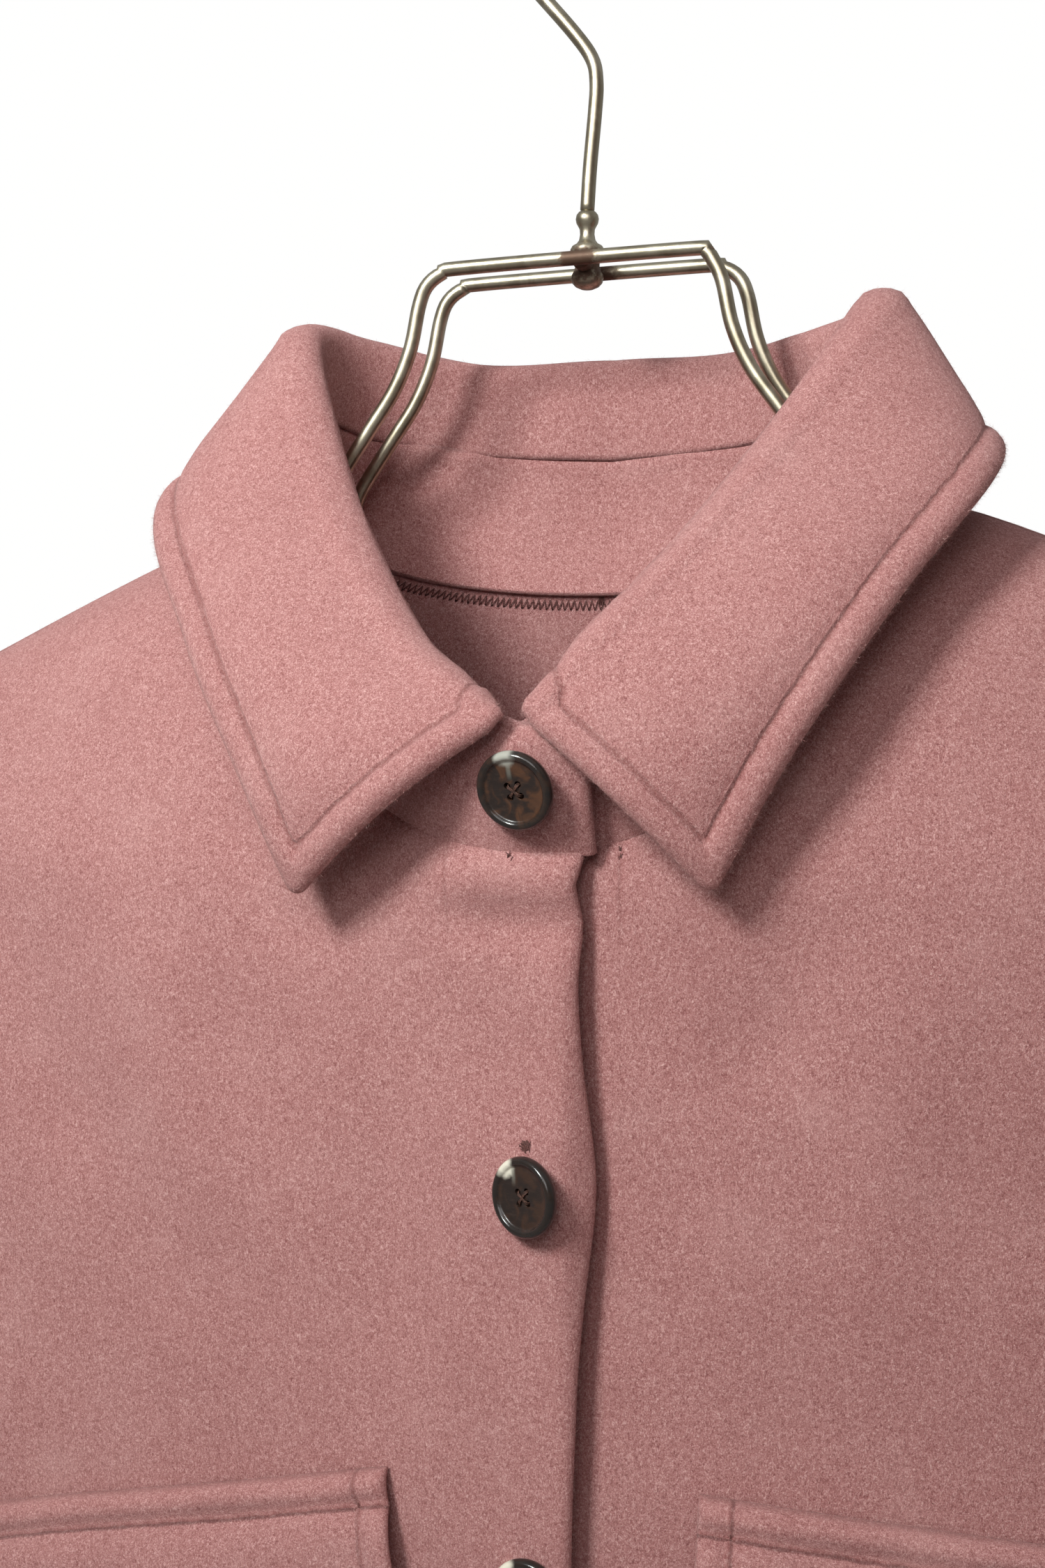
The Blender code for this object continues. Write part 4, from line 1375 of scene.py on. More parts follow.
@dataclass(frozen=True)
class Brass:
    """Aged brass wire: dull clouds, drawn scratches and brown solder by the ferrule."""

    name: str = "aged_brass"
    bright: Colour = (0.500, 0.460, 0.355, 1.0)
    dull: Colour = (0.350, 0.310, 0.225, 1.0)
    brown: Colour = (0.085, 0.036, 0.020, 1.0)

    def build(self) -> bpy.types.Material:
        """Makes the material.

        Returns:
            The material.
        """
        g = Graph(self.name)
        cloud = g.noise(120.0, 4.0, 0.6, 0.6)
        spot = g.noise(900.0, 3.0, 0.6, 0.3)
        drawn = g.noise(1.0, 2.0, 0.5, 0.2, stretch=(160.0, 2400.0, 2400.0))
        colour = g.mix(cloud.step(0.36, 0.66), self.dull, self.bright)
        colour = g.mix(spot.step(0.60, 0.74) * 0.30, colour, self.dull)
        point = g.place()
        x = point.part("X")
        z = point.part("Z") + (HOOK_TOP - 0.0575)
        far = (x * x + z * z) ** 0.5
        solder = 1.0 - (far + (cloud - 0.5) * 0.010 + (spot - 0.5) * 0.006).step(0.0035, 0.0075)
        colour = g.mix(solder * 0.9, colour, self.brown)
        rough = 0.30 + cloud * 0.10 + spot * 0.05 + solder * 0.20
        return g.finish({"Base Color": colour, "Metallic": 1.0 - solder * 0.45,
                         "Roughness": rough}, drawn * 0.10 + spot * 0.12 + solder * spot * 1.2,
                        0.00005)


COLLAR = Table(
    ("along", "base_x", "base_y", "base_z", "fold_x", "fold_y", "fold_z",
     "edge_x", "edge_y", "edge_z", "roll", "belly"),
    (
        (0.00, 0.0000, -0.0540, -0.0700, 0.0018, -0.0590, -0.0650,
         0.0473, -0.0520, -0.1125, 0.0026, 0.0050),
        (0.18, 0.0310, -0.0450, -0.0520, 0.0290, -0.0430, -0.0380,
         0.0666, -0.0510, -0.0780, 0.0030, 0.0045),
        (0.38, 0.0610, -0.0200, -0.0170, 0.0580, -0.0190, 0.0025,
         0.0912, -0.0360, -0.0390, 0.0034, 0.0030),
        (0.58, 0.0790, 0.0150, 0.0175, 0.0800, 0.0090, 0.0405,
         0.1125, -0.0050, -0.0050, 0.0034, 0.0000),
        (0.72, 0.0700, 0.0390, 0.0170, 0.0700, 0.0380, 0.0405,
         0.0960, 0.0440, 0.0020, 0.0034, 0.0005),
        (0.86, 0.0390, 0.0510, 0.0125, 0.0400, 0.0530, 0.0360,
         0.0540, 0.0660, -0.0180, 0.0034, 0.0020),
        (1.00, 0.0000, 0.0550, 0.0105, 0.0000, 0.0570, 0.0350,
         0.0000, 0.0660, -0.0280, 0.0034, 0.0030),
    ),
)
LEAF = Table(
    ("along", "fold_drop", "edge_out", "edge_drop"),
    (
        (0.00, 0.001, 0.0115, 0.0020),
        (0.18, 0.013, 0.0060, 0.0080),
        (0.38, 0.013, 0.0040, 0.0090),
        (0.58, 0.001, 0.0030, 0.0040),
        (0.80, 0.000, 0.0000, 0.0000),
        (1.00, 0.000, 0.0000, 0.0000),
    ),
)
SLEEVE_ROWS = (
    # inner x, z, outer x, z, half depth, how far the ring has left the armhole's shape
    (0.2545, -0.3080, 0.2640, -0.1230, 0.0400, 0.48),
    (0.2575, -0.3160, 0.2950, -0.1780, 0.0480, 0.78),
    (0.2600, -0.3330, 0.3240, -0.2480, 0.0500, 1.00),
    (0.2610, -0.3620, 0.3430, -0.3220, 0.0480, 1.00),
    (0.2600, -0.4050, 0.3550, -0.3900, 0.0450, 1.00),
    (0.2580, -0.4500, 0.3600, -0.4450, 0.0425, 1.00),
    (0.2600, -0.4900, 0.3640, -0.4890, 0.0390, 1.00),
    (0.2590, -0.5280, 0.3630, -0.5290, 0.0380, 1.00),
    (0.2640, -0.5620, 0.3620, -0.5640, 0.0340, 1.00),
)
# turn round the sleeve (0 outside, 0.25 front, 0.75 back) and share of its length at the
# start, then at the end, height, half width, bow
SLEEVE_CREASES = (
    (0.10, 0.40, 0.42, 0.52, -0.0034, 0.030, 0.010),
    (0.08, 0.50, 0.44, 0.60, 0.0030, 0.028, 0.008),
    (0.14, 0.62, 0.42, 0.66, -0.0030, 0.026, -0.008),
    (0.05, 0.18, 0.34, 0.30, -0.0032, 0.034, 0.012),
    (0.60, 0.44, 0.92, 0.40, -0.0036, 0.030, 0.010),
    (0.58, 0.56, 0.90, 0.52, 0.0030, 0.028, -0.008),
    (0.62, 0.70, 0.88, 0.66, -0.0028, 0.026, 0.006),
    (0.64, 0.24, 0.94, 0.20, -0.0030, 0.034, 0.012),
    (0.28, 0.72, 0.36, 0.98, 0.0026, 0.022, 0.004),
    (0.66, 0.78, 0.72, 0.98, 0.0026, 0.022, 0.004),
)


def joined(a: Array, b: Array) -> Array:
    """Two signed distances as one that is zero on both lines.

    Args:
        a: distance from the first line.
        b: distance from the second line.

    Returns:
        The nearer one, without false zeros in between.
    """
    return a * b / np.maximum(1e-6, np.maximum(np.abs(a), np.abs(b)))


def puff(apart: Array, inset: float, height: float, dip: float) -> Array:
    """Rise of a padded edge and the dip of the stitching that holds it.

    Args:
        apart: distance from the edge.
        inset: distance of the stitching.
        height: rise between them.
        dip: depth of the dip.

    Returns:
        The height.
    """
    rise = height * np.sin(math.pi * np.clip(apart / inset, 0.0, 1.0)) ** 0.8
    soft = height * 0.6 * ease((apart - inset) / 0.010)
    return rise + soft - dip * np.exp(-((apart - inset) / 0.0014) ** 2)


def round_corner(grid: Array, column: int, radius: float) -> None:
    """Rounds a corner at the bottom of a grid, in place.

    Args:
        grid: rows, columns, xyz.
        column: 0 for the left corner, -1 for the right one.
        radius: the corner's radius.
    """
    corner = grid[-1, column].copy()
    along = unit(grid[-1, 12 if column == 0 else -13] - corner)
    up = unit(grid[-13, column] - corner)
    first = unit(up - along * float(along @ up))
    second = unit(along - up * float(along @ up))
    a = (grid - corner) @ first
    b = (grid - corner) @ second
    p, q = radius - a, radius - b
    near = np.linalg.norm(grid - corner, axis=2) < 4.0 * radius
    inside = (p > 1e-9) & (q > 1e-9) & near
    share = 1.0 - np.maximum(p, q) / np.maximum(1e-9, np.hypot(p, q))
    cross = float(first @ second)
    move_a, move_b = p * share, q * share
    move = ((move_a - cross * move_b)[..., None] * first
            + (move_b - cross * move_a)[..., None] * second) / (1.0 - cross ** 2)
    grid += np.where(inside[..., None], move, 0.0)


@dataclass(frozen=True)
class Looks:
    """Every finish of the jacket, made once."""

    wool: bpy.types.Material
    fibre: bpy.types.Material
    thread: bpy.types.Material
    overlock: bpy.types.Material


@dataclass
class Fronts:
    """The two fronts with their stitching and buttonholes."""

    form: BodyForm
    looks: Looks
    sewing: Sewing
    faint: Sewing
    dark: Sewing
    hole_half: float = 0.0120
    made: dict[Side, Cloth] = field(default_factory=dict)

    def build(self) -> None:
        """Builds both fronts."""
        for side in Side:
            cloth = self._cloth(side)
            self.made[side] = cloth
            cloth.dress(self.looks.wool, "hung", WIRES)
            self._stitch(side, cloth)
        self._buttonholes()

    def _cloth(self, side: Side) -> Cloth:
        """The cloth of one front.

        Args:
            side: which front.

        Returns:
            The cloth.
        """
        form = self.form
        edge = float(BODY.read("reach", -form.front_drop))
        lead = -edge + np.concatenate((EDGE_STEPS, (0.0138,)))
        own, z = form.neck_front(1.0 - (1.0 - np.arange(43) / 42) ** 1.5)
        top = np.concatenate((np.stack((lead, np.full(len(lead), -form.front_drop)), axis=1),
                              np.stack((own, z), axis=1)))
        right, down = form.side_border()
        across = shares(top)
        bottom = np.stack((-edge + across * (form.hem_x + edge),
                           np.full(len(across), HEM_Z)), axis=1)
        left = np.stack((np.full(len(down), -edge),
                         -form.front_drop + down * (HEM_Z + form.front_drop)), axis=1)
        flat = between(top, bottom, left, right, across, down)
        own, z = flat[..., 0], flat[..., 1]
        if side is Side.RIGHT:
            near = 1.0 - ease((own + edge) / 0.05)
            own = own - (BODY.read("reach", z) - edge - 0.0012) * near
        word = side.name.lower()
        cloth = Cloth("cloth_front_" + word, form.front(side, own, z), seam=-1,
                      free=(Border.LEFT, Border.BOTTOM))
        # How far the stitch groove on the upper placket fades, in its depth and in its painted
        # shade: partly at the top, wholly further down.
        worn = (0.55 + 0.45 * ease((-z - 0.110) / 0.025)) * (z > -0.5) * (own < 0.10)
        line = own - (0.0210 if side is Side.RIGHT else 0.0225)
        ends = cloth.distance(Border.RIGHT)
        level = form.shoulder_z(own) - z
        shoulder = ends - SHOULDER_INSET + NO_LINE * ease((-0.305 - z) / 0.01)
        hem = cloth.distance(Border.BOTTOM)
        neck = cloth.distance(Border.TOP)
        # The seam mark sets where painted shade darkens the front: along the shoulder, armhole
        # and side seams and the neckline.
        cloth.marks = {"stitch": line, "stitch_b": joined(shoulder, hem - HEM_INSET),
                       "worn": worn, "seam": np.minimum(ends, neck + 0.0006)}
        # Painted shadow: the left front is darkened up to the line where the right front's edge
        # lies over it.
        if side is Side.LEFT:
            cloth.marks["seam"] = np.minimum(cloth.marks["seam"], own - BODY.read("reach", z))
        facing = 1.0 - ease((own - 0.016) / 0.010)
        apart = form.front_y(Side.LEFT, -own, z) - form.front_y(Side.RIGHT, -own, z)
        held = np.clip(apart - CLOTH - 0.0024, 0.0010, 0.0026) if side is Side.RIGHT else 0.0014
        cloth.deep = held * facing
        cloth.lift = (0.0003 * facing + puff(ends, 0.006, 0.0003, 0.0002) * ease(level / 0.01)
                      + waver(cloth.grid, 11 + side.value, 0.055, 0.0005)
                      * ease(ends / 0.03) * ease(neck / 0.02)
                      - 0.0009 * np.exp(-(neck / 0.0022) ** 2)
                      - 0.0003 * np.exp(-(line / 0.0016) ** 2) * (1.0 - worn)
                      - 0.0004 * np.exp(-((hem - HEM_INSET) / 0.0016) ** 2))
        return cloth

    def _stitch(self, side: Side, cloth: Cloth) -> None:
        """Sews one front.

        Args:
            side: which front.
            cloth: its cloth.
        """
        own, bottom = (0.0210, -0.126) if side is Side.RIGHT else (0.0225, -0.150)
        z = np.arange(-0.104, bottom, -0.002)
        points = self.form.front(side, np.full(len(z), own), z, 0.0)
        ahead = self.form.front(side, np.full(len(z), own), z, 0.002)
        self.faint.run(Seam(points, unit(ahead - points)))
        shoulder = cloth.line(Border.RIGHT, SHOULDER_INSET, {Border.TOP: 0.004})
        self.sewing.run(shoulder.part(shoulder.points[:, 2] > -0.300))
        self.sewing.run(cloth.line(Border.BOTTOM, HEM_INSET, {Border.LEFT: 0.002}))

    def _buttonholes(self) -> None:
        """Works a buttonhole behind each button of the lapping front."""
        for k in range(1, 6):
            middle = BUTTON_FIRST_Z - BUTTON_STEP * k
            z = np.arange(middle - self.hole_half, middle + self.hole_half, 0.00055)
            for way in (-1.0, 1.0):
                low = self.form.front(Side.RIGHT, np.full(len(z), way * 0.0002), z, 0.0002)
                high = self.form.front(Side.RIGHT, np.full(len(z), way * 0.0019), z, 0.0001)
                out = self.form.front(Side.RIGHT, np.full(len(z), way * 0.001), z, 0.003) - low
                self.sewing.bars(low, high, out)
            for end in (z[0] - 0.0006, z[-1] + 0.0006):
                self._bartack(Side.RIGHT, 0.0002, end, 0.0015, 64)
        self._bartack(Side.RIGHT, 0.0040, -0.1030, 0.0010, 4)
        self._bartack(Side.LEFT, 0.0225, -0.1010, 0.0004, 4)
        self._bartack(Side.LEFT, 0.0226, -0.1030, 0.0005, 4)

    def _bartack(self, side: Side, own: float, z: float, size: float, count: int) -> None:
        """Works a small frayed knot of dark thread.

        Args:
            side: which front.
            own: distance from the middle.
            z: height.
            size: half its width.
            count: how many threads.
        """
        rng = np.random.default_rng(int(900 - 1000 * z + count))
        start, end = rng.normal(0.0, 0.5, size=(2, count, 2)) * size
        start[:, 1] -= 0.0005
        end[:, 1] += 0.0005
        low, high = (self.form.front(side, own + at[:, 0], z + at[:, 1], 0.0003)
                     for at in (start, end))
        self.dark.bars(low, high, np.tile((0.0, -1.0, 0.0), (count, 1)))


@dataclass
class Back:
    """The back in one piece."""

    form: BodyForm
    looks: Looks
    sewing: Sewing
    overlock: Sewing
    made: Cloth | None = None

    def build(self) -> None:
        """Builds and sews the back."""
        form = self.form
        x, z = form.neck_back(np.arange(25)[::-1] / 24)
        half = np.stack((x, z), axis=1)
        mirror = np.array((-1.0, 1.0))
        top = np.concatenate((half[:0:-1] * mirror, half))
        right, down = form.side_border()
        out = 1.0 - (1.0 - np.arange(25) / 24) ** 1.4
        across = np.concatenate((0.5 - 0.5 * out[:0:-1], 0.5 + 0.5 * out))
        bottom = np.stack((form.hem_x * (2.0 * across - 1.0), np.full(49, HEM_Z)), axis=1)
        flat = between(top, bottom, right * mirror, right, across, down)
        cloth = Cloth("cloth_back", form.back(flat[..., 0], flat[..., 1]),
                      inside=(0.0, -1.0, 0.0), seam=1, free=(Border.BOTTOM,))
        ends = cloth.distance(Border.LEFT, Border.RIGHT)
        neck = cloth.distance(Border.TOP)
        hem = cloth.distance(Border.BOTTOM)
        shoulder = ends - SHOULDER_INSET + NO_LINE * ease((-0.305 - flat[..., 1]) / 0.01)
        # The seam mark sets where painted shade darkens the back: along its shoulder, armhole
        # and side seams and the neckline.
        cloth.marks = {"stitch": joined(hem - HEM_INSET, shoulder), "stitch_b": NO_LINE,
                       "seam": np.minimum(ends, neck)}
        cloth.lift = (waver(cloth.grid, 21, 0.060, 0.0006) * ease(ends / 0.03)
                      * ease(neck / 0.02) - 0.0009 * np.exp(-(neck / 0.0022) ** 2)
                      - 0.0004 * np.exp(-((hem - HEM_INSET) / 0.0016) ** 2))
        cloth.dress(self.looks.wool, "hung", WIRES)
        self.sewing.run(cloth.line(Border.BOTTOM, HEM_INSET))
        for side in (Border.LEFT, Border.RIGHT):
            line = cloth.line(side, SHOULDER_INSET, {Border.TOP: 0.004})
            self.sewing.run(line.part(line.points[:, 2] > -0.300))
        self._overlock(cloth)
        self.made = cloth

    def _overlock(self, cloth: Cloth) -> None:
        """Works a dark zigzag under the stand, inside the neck.

        Args:
            cloth: the back's cloth.
        """
        near = cloth.line(Border.TOP, 0.0016, inner=True)
        far = cloth.line(Border.TOP, 0.0046, inner=True)
        walked = shares(near.points)
        count = int(np.linalg.norm(np.diff(near.points, axis=0), axis=1).sum() / 0.0017)
        at = np.linspace(0.002, 0.998, count)

        def read(line: Seam, values: Array, place: Array) -> Array:
            """Reads values along a line of the same length."""
            own = shares(line.points)
            return np.stack([np.interp(place, own, values[:, k]) for k in range(3)], axis=1)

        low = read(near, near.points, at)
        high = read(far, far.points, at + 0.5 / count)
        out = read(near, near.normals, at)
        self.overlock.bars(low + out * 0.0003, high + out * 0.0003, out)
        self.overlock.bars(high[:-1] + out[:-1] * 0.0003, low[1:] + out[1:] * 0.0003, out[1:])
        x = np.linspace(-0.0030, -0.0016, 6)
        ends = [self.form.back(x, np.full(6, z)) - (0.0, cloth.thick + 0.0003, 0.0)
                for z in (-0.0335, -0.0280)]
        self.overlock.bars(ends[0], ends[1], np.tile((0.0, -1.0, 0.0), (6, 1)))
        LOG.info("overlock: %d turns over %.0f%% of the neck", count, 100 * walked[-1])


@dataclass
class Collar:
    """The collar and its stand."""

    form: BodyForm
    looks: Looks
    sewing: Sewing
    side_at: float = 0.58
    stand_thick: float = 0.0036
    half: float = 0.0022
    inset: float = 0.0085
    leaf: Cloth | None = None
    stand: Cloth | None = None

    def _spot(self, sign: Array, along: Array, which: str) -> Array:
        """Base, fold or edge of the collar.

        Args:
            sign: side of each place.
            along: place from the front (0) to the middle of the back (1).
            which: base, fold or edge.

        Returns:
            The points.
        """
        x, y, z = (COLLAR.read(which + "_" + axis, along) for axis in "xyz")
        lap = sign < 0
        drop = {"base": 0.3, "fold": 1.0, "edge": 0.0}[which] * LEAF.read("fold_drop", along)
        if which == "edge":
            x = x + lap * LEAF.read("edge_out", along) * ease((1.0 - along) / 0.2)
            drop = LEAF.read("edge_drop", along)
        z = z - lap * drop
        share = {"base": 1.0, "fold": 0.6, "edge": 0.0}[which]
        share = share * (1.0 - ease(along / 0.2))
        y = y + share * np.where(lap, -FRONT_OVER, FRONT_UNDER)
        return np.stack((x * sign, y, z), axis=-1)

    def _away(self, sign: Array, along: Array) -> Array:
        """Level directions away from the middle of the neck.

        Args:
            sign: side of each place.
            along: where on the collar.

        Returns:
            Unit vectors.
        """
        front = -0.5 * math.pi * (1.0 - along / self.side_at)
        back = 0.5 * math.pi * (along - self.side_at) / (1.0 - self.side_at)
        turn = np.where(along < self.side_at, front, back)
        return np.stack((sign * np.cos(turn), np.sin(turn), np.zeros_like(turn)), axis=-1)

    def _stand_lines(self, sign: Array, past: Array, along: Array) -> tuple[Array, Array]:
        """Bottom and top of the stand.

        Args:
            sign: side of each place.
            past: how far it reaches over the middle.
            along: where on the collar.

        Returns:
            Two lines of points.
        """
        low = np.empty((len(sign), 3))
        own_f, z_f = self.form.neck_front(along / self.side_at)
        own_b, z_b = self.form.neck_back((along - self.side_at) / (1.0 - self.side_at))
        for side in Side:
            here = (sign == side.value) & (along < self.side_at)
            low[here] = self.form.front(side, (own_f - past)[here], z_f[here])
            here = (sign == side.value) & (along >= self.side_at)
            low[here] = self.form.back(side.value * own_b[here], z_b[here])
        high = self._spot(sign, along, "base")
        high[:, 0] -= sign * past
        over = past > 0.0
        for side in Side:
            here = over & (sign == side.value)
            x = -side.value * past[here]
            z = np.full(here.sum(), -self.form.front_drop)
            high[here, 1] += (self.form.front_y(side, x, z)
                              - self.form.front_y(side, np.zeros_like(x), z))
        high[:, 2] -= 0.004 * (past / 0.0175) ** 2
        return low, high

    def _places(self, fine: Array) -> tuple[Array, Array]:
        """Places all round the neck.

        Args:
            fine: places from the front to the back on one side.

        Returns:
            Side signs and places.
        """
        sign = np.concatenate((np.full(len(fine), -1.0), np.full(len(fine) - 1, 1.0)))
        return sign, np.concatenate((fine, fine[-2::-1]))

    def build(self) -> None:
        """Builds the stand and the collar."""
        self._build_stand()
        self._build_leaf()

    def _build_stand(self) -> None:
        """Builds the stand."""
        sign, along = self._places(np.linspace(0.0, 1.0, 81))
        past = 0.0175 - np.array(EDGE_STEPS + (0.0140,))
        sign = np.concatenate((np.full(len(past), -1.0), sign, np.full(len(past), 1.0)))
        along = np.concatenate((np.zeros(len(past)), along, np.zeros(len(past))))
        past = np.concatenate((past, np.zeros(len(sign) - 2 * len(past)), past[::-1]))
        low, high = self._stand_lines(sign, past, along)
        low = low - unit(high - low) * 0.0018
        part = np.concatenate(((0.0, 0.012, 0.03, 0.055, 0.085, 0.12, 0.16),
                               np.linspace(0.21, 1.0, 14)))[:, None, None]
        bow = self._away(sign, along) * 0.0025 * np.sin(math.pi * part)
        bow[:, past > 0.0] *= 0.4
        cloth = Cloth("cloth_collar_stand", low + (high - low) * part + bow,
                      inside=(0.0, -1.0, 0.0), thick=self.stand_thick,
                      free=(Border.LEFT, Border.RIGHT, Border.BOTTOM))
        seam = cloth.distance(Border.BOTTOM)
        cloth.marks = {"stitch": NO_LINE, "stitch_b": NO_LINE, "seam": NO_LINE}
        dip = np.exp(-(seam / 0.0034) ** 2)
        cloth.lift = waver(cloth.grid, 31, 0.04, 0.0004) - 0.0016 * dip
        cloth.deep = 0.0008 + 0.0008 * dip
        cloth.dress(self.looks.wool, "hung",
                    ("cloth_front_right", "cloth_front_left", "cloth_back"))
        self.sewing.run(cloth.line(Border.BOTTOM, 0.0050, {Border.LEFT: 0.05,
                                                           Border.RIGHT: 0.05}))
        self.stand = cloth

    def _section(self, sign: Array, along: Array) -> Array:
        """Stops across the collar from the stand over the fold to the edge.

        Args:
            sign: side of each place.
            along: where on the collar.

        Returns:
            Stops, places, xyz.
        """
        back = along + 0.030 * (1.0 - ease(along / 0.10))
        base, inner = (self._spot(sign, back, which) for which in ("base", "fold"))
        fold, edge = (self._spot(sign, along, which) for which in ("fold", "edge"))
        fold[:, 2] -= 0.0034 * (1.0 - ease(along / 0.14))
        inner[:, 2] -= 0.0024 * (1.0 - ease(along / 0.14))
        out = self._away(sign, along)
        roll = (COLLAR.read("roll", along) * (0.45 + 0.55 * ease(along / 0.05)))[:, None]
        up = np.array((0.0, 0.0, 1.0))
        base = base - out * self.stand_thick * 0.5 - unit(inner - base) * 0.0020
        rise = np.minimum(0.004, 0.45 * np.linalg.norm(inner - base, axis=1))[:, None]
        inside = inner - out * roll - unit(inner - base) * rise
        outside = fold + out * roll + unit(edge - fold) * 0.0045
        crest = fold + up * 0.0004
        stops = [base, (base + inside) * 0.5, inside,
                 (inside + crest) * 0.5 - out * roll * 0.36 + up * 0.0012, crest,
                 (outside + crest) * 0.5 + out * roll * 0.36 + up * 0.0010, outside]
        full = COLLAR.read("belly", along)[:, None]
        for part in (0.22, 0.45, 0.70, 1.0):
            belly = full * math.sin(math.pi * part)
            stops.append(outside + (edge - outside) * part + out * belly + up * 0.4 * belly)
        return np.array(stops)

    def _build_leaf(self) -> None:
        """Builds the collar's fall."""
        edge = np.array(EDGE_STEPS) / 0.24
        fine = np.concatenate((edge, np.linspace(edge[-1] + 0.012, 1.0, 74)))
        sign, along = self._places(fine)
        grid = smooth_rows(self._section(sign, along), spread(0.104, 0.0021, low=False))
        for column in (0, -1):
            round_corner(grid, column, 0.0045)
        cloth = Cloth("cloth_collar", grid, inside=(0.0, -1.0, -1.0), thick=self.half,
                      free=(Border.LEFT, Border.RIGHT, Border.BOTTOM))
        tip = np.minimum(np.linalg.norm(grid - grid[-1, 0], axis=2),
                         np.linalg.norm(grid - grid[-1, -1], axis=2))
        apart = cloth.distance(*cloth.free)
        soft = ease(apart / 0.02)
        cloth.move(waver(grid, 41, 0.05, 0.0006) * soft)
        # The seam mark puts a faint painted shade along the collar's join to the stand.
        cloth.marks = {"stitch": apart - self.inset, "stitch_b": NO_LINE,
                       "seam": cloth.distance(Border.TOP) + 0.0011}
        crest = np.argmax(grid[:8, 0, 2])
        nose = np.minimum(np.linalg.norm(grid - grid[crest, 0], axis=2),
                          np.linalg.norm(grid - grid[crest, -1], axis=2))
        thin = 1.0 - 0.30 * np.exp(-(tip / 0.006) ** 2) - 0.40 * np.exp(-(nose / 0.007) ** 2)
        cloth.lift = self.half * thin + puff(apart, self.inset, 0.0010, 0.0007) * np.clip(
            2.0 * thin - 1.0, 0.0, 1.0)
        held = 0.0003 * (1.0 - ease(cloth.distance(Border.TOP) / 0.006))
        cloth.deep = puff(apart, self.inset, 0.0004, 0.0004) * thin + held
        cloth.dress(self.looks.wool, "folded", ("cloth_collar_stand",))
        i = self.inset
        self.sewing.run(cloth.line(Border.BOTTOM, i, {Border.LEFT: i, Border.RIGHT: i}))
        for side in (Border.LEFT, Border.RIGHT):
            self.sewing.run(cloth.line(side, i, {Border.BOTTOM: i, Border.TOP: 0.012}))
        self.leaf = cloth


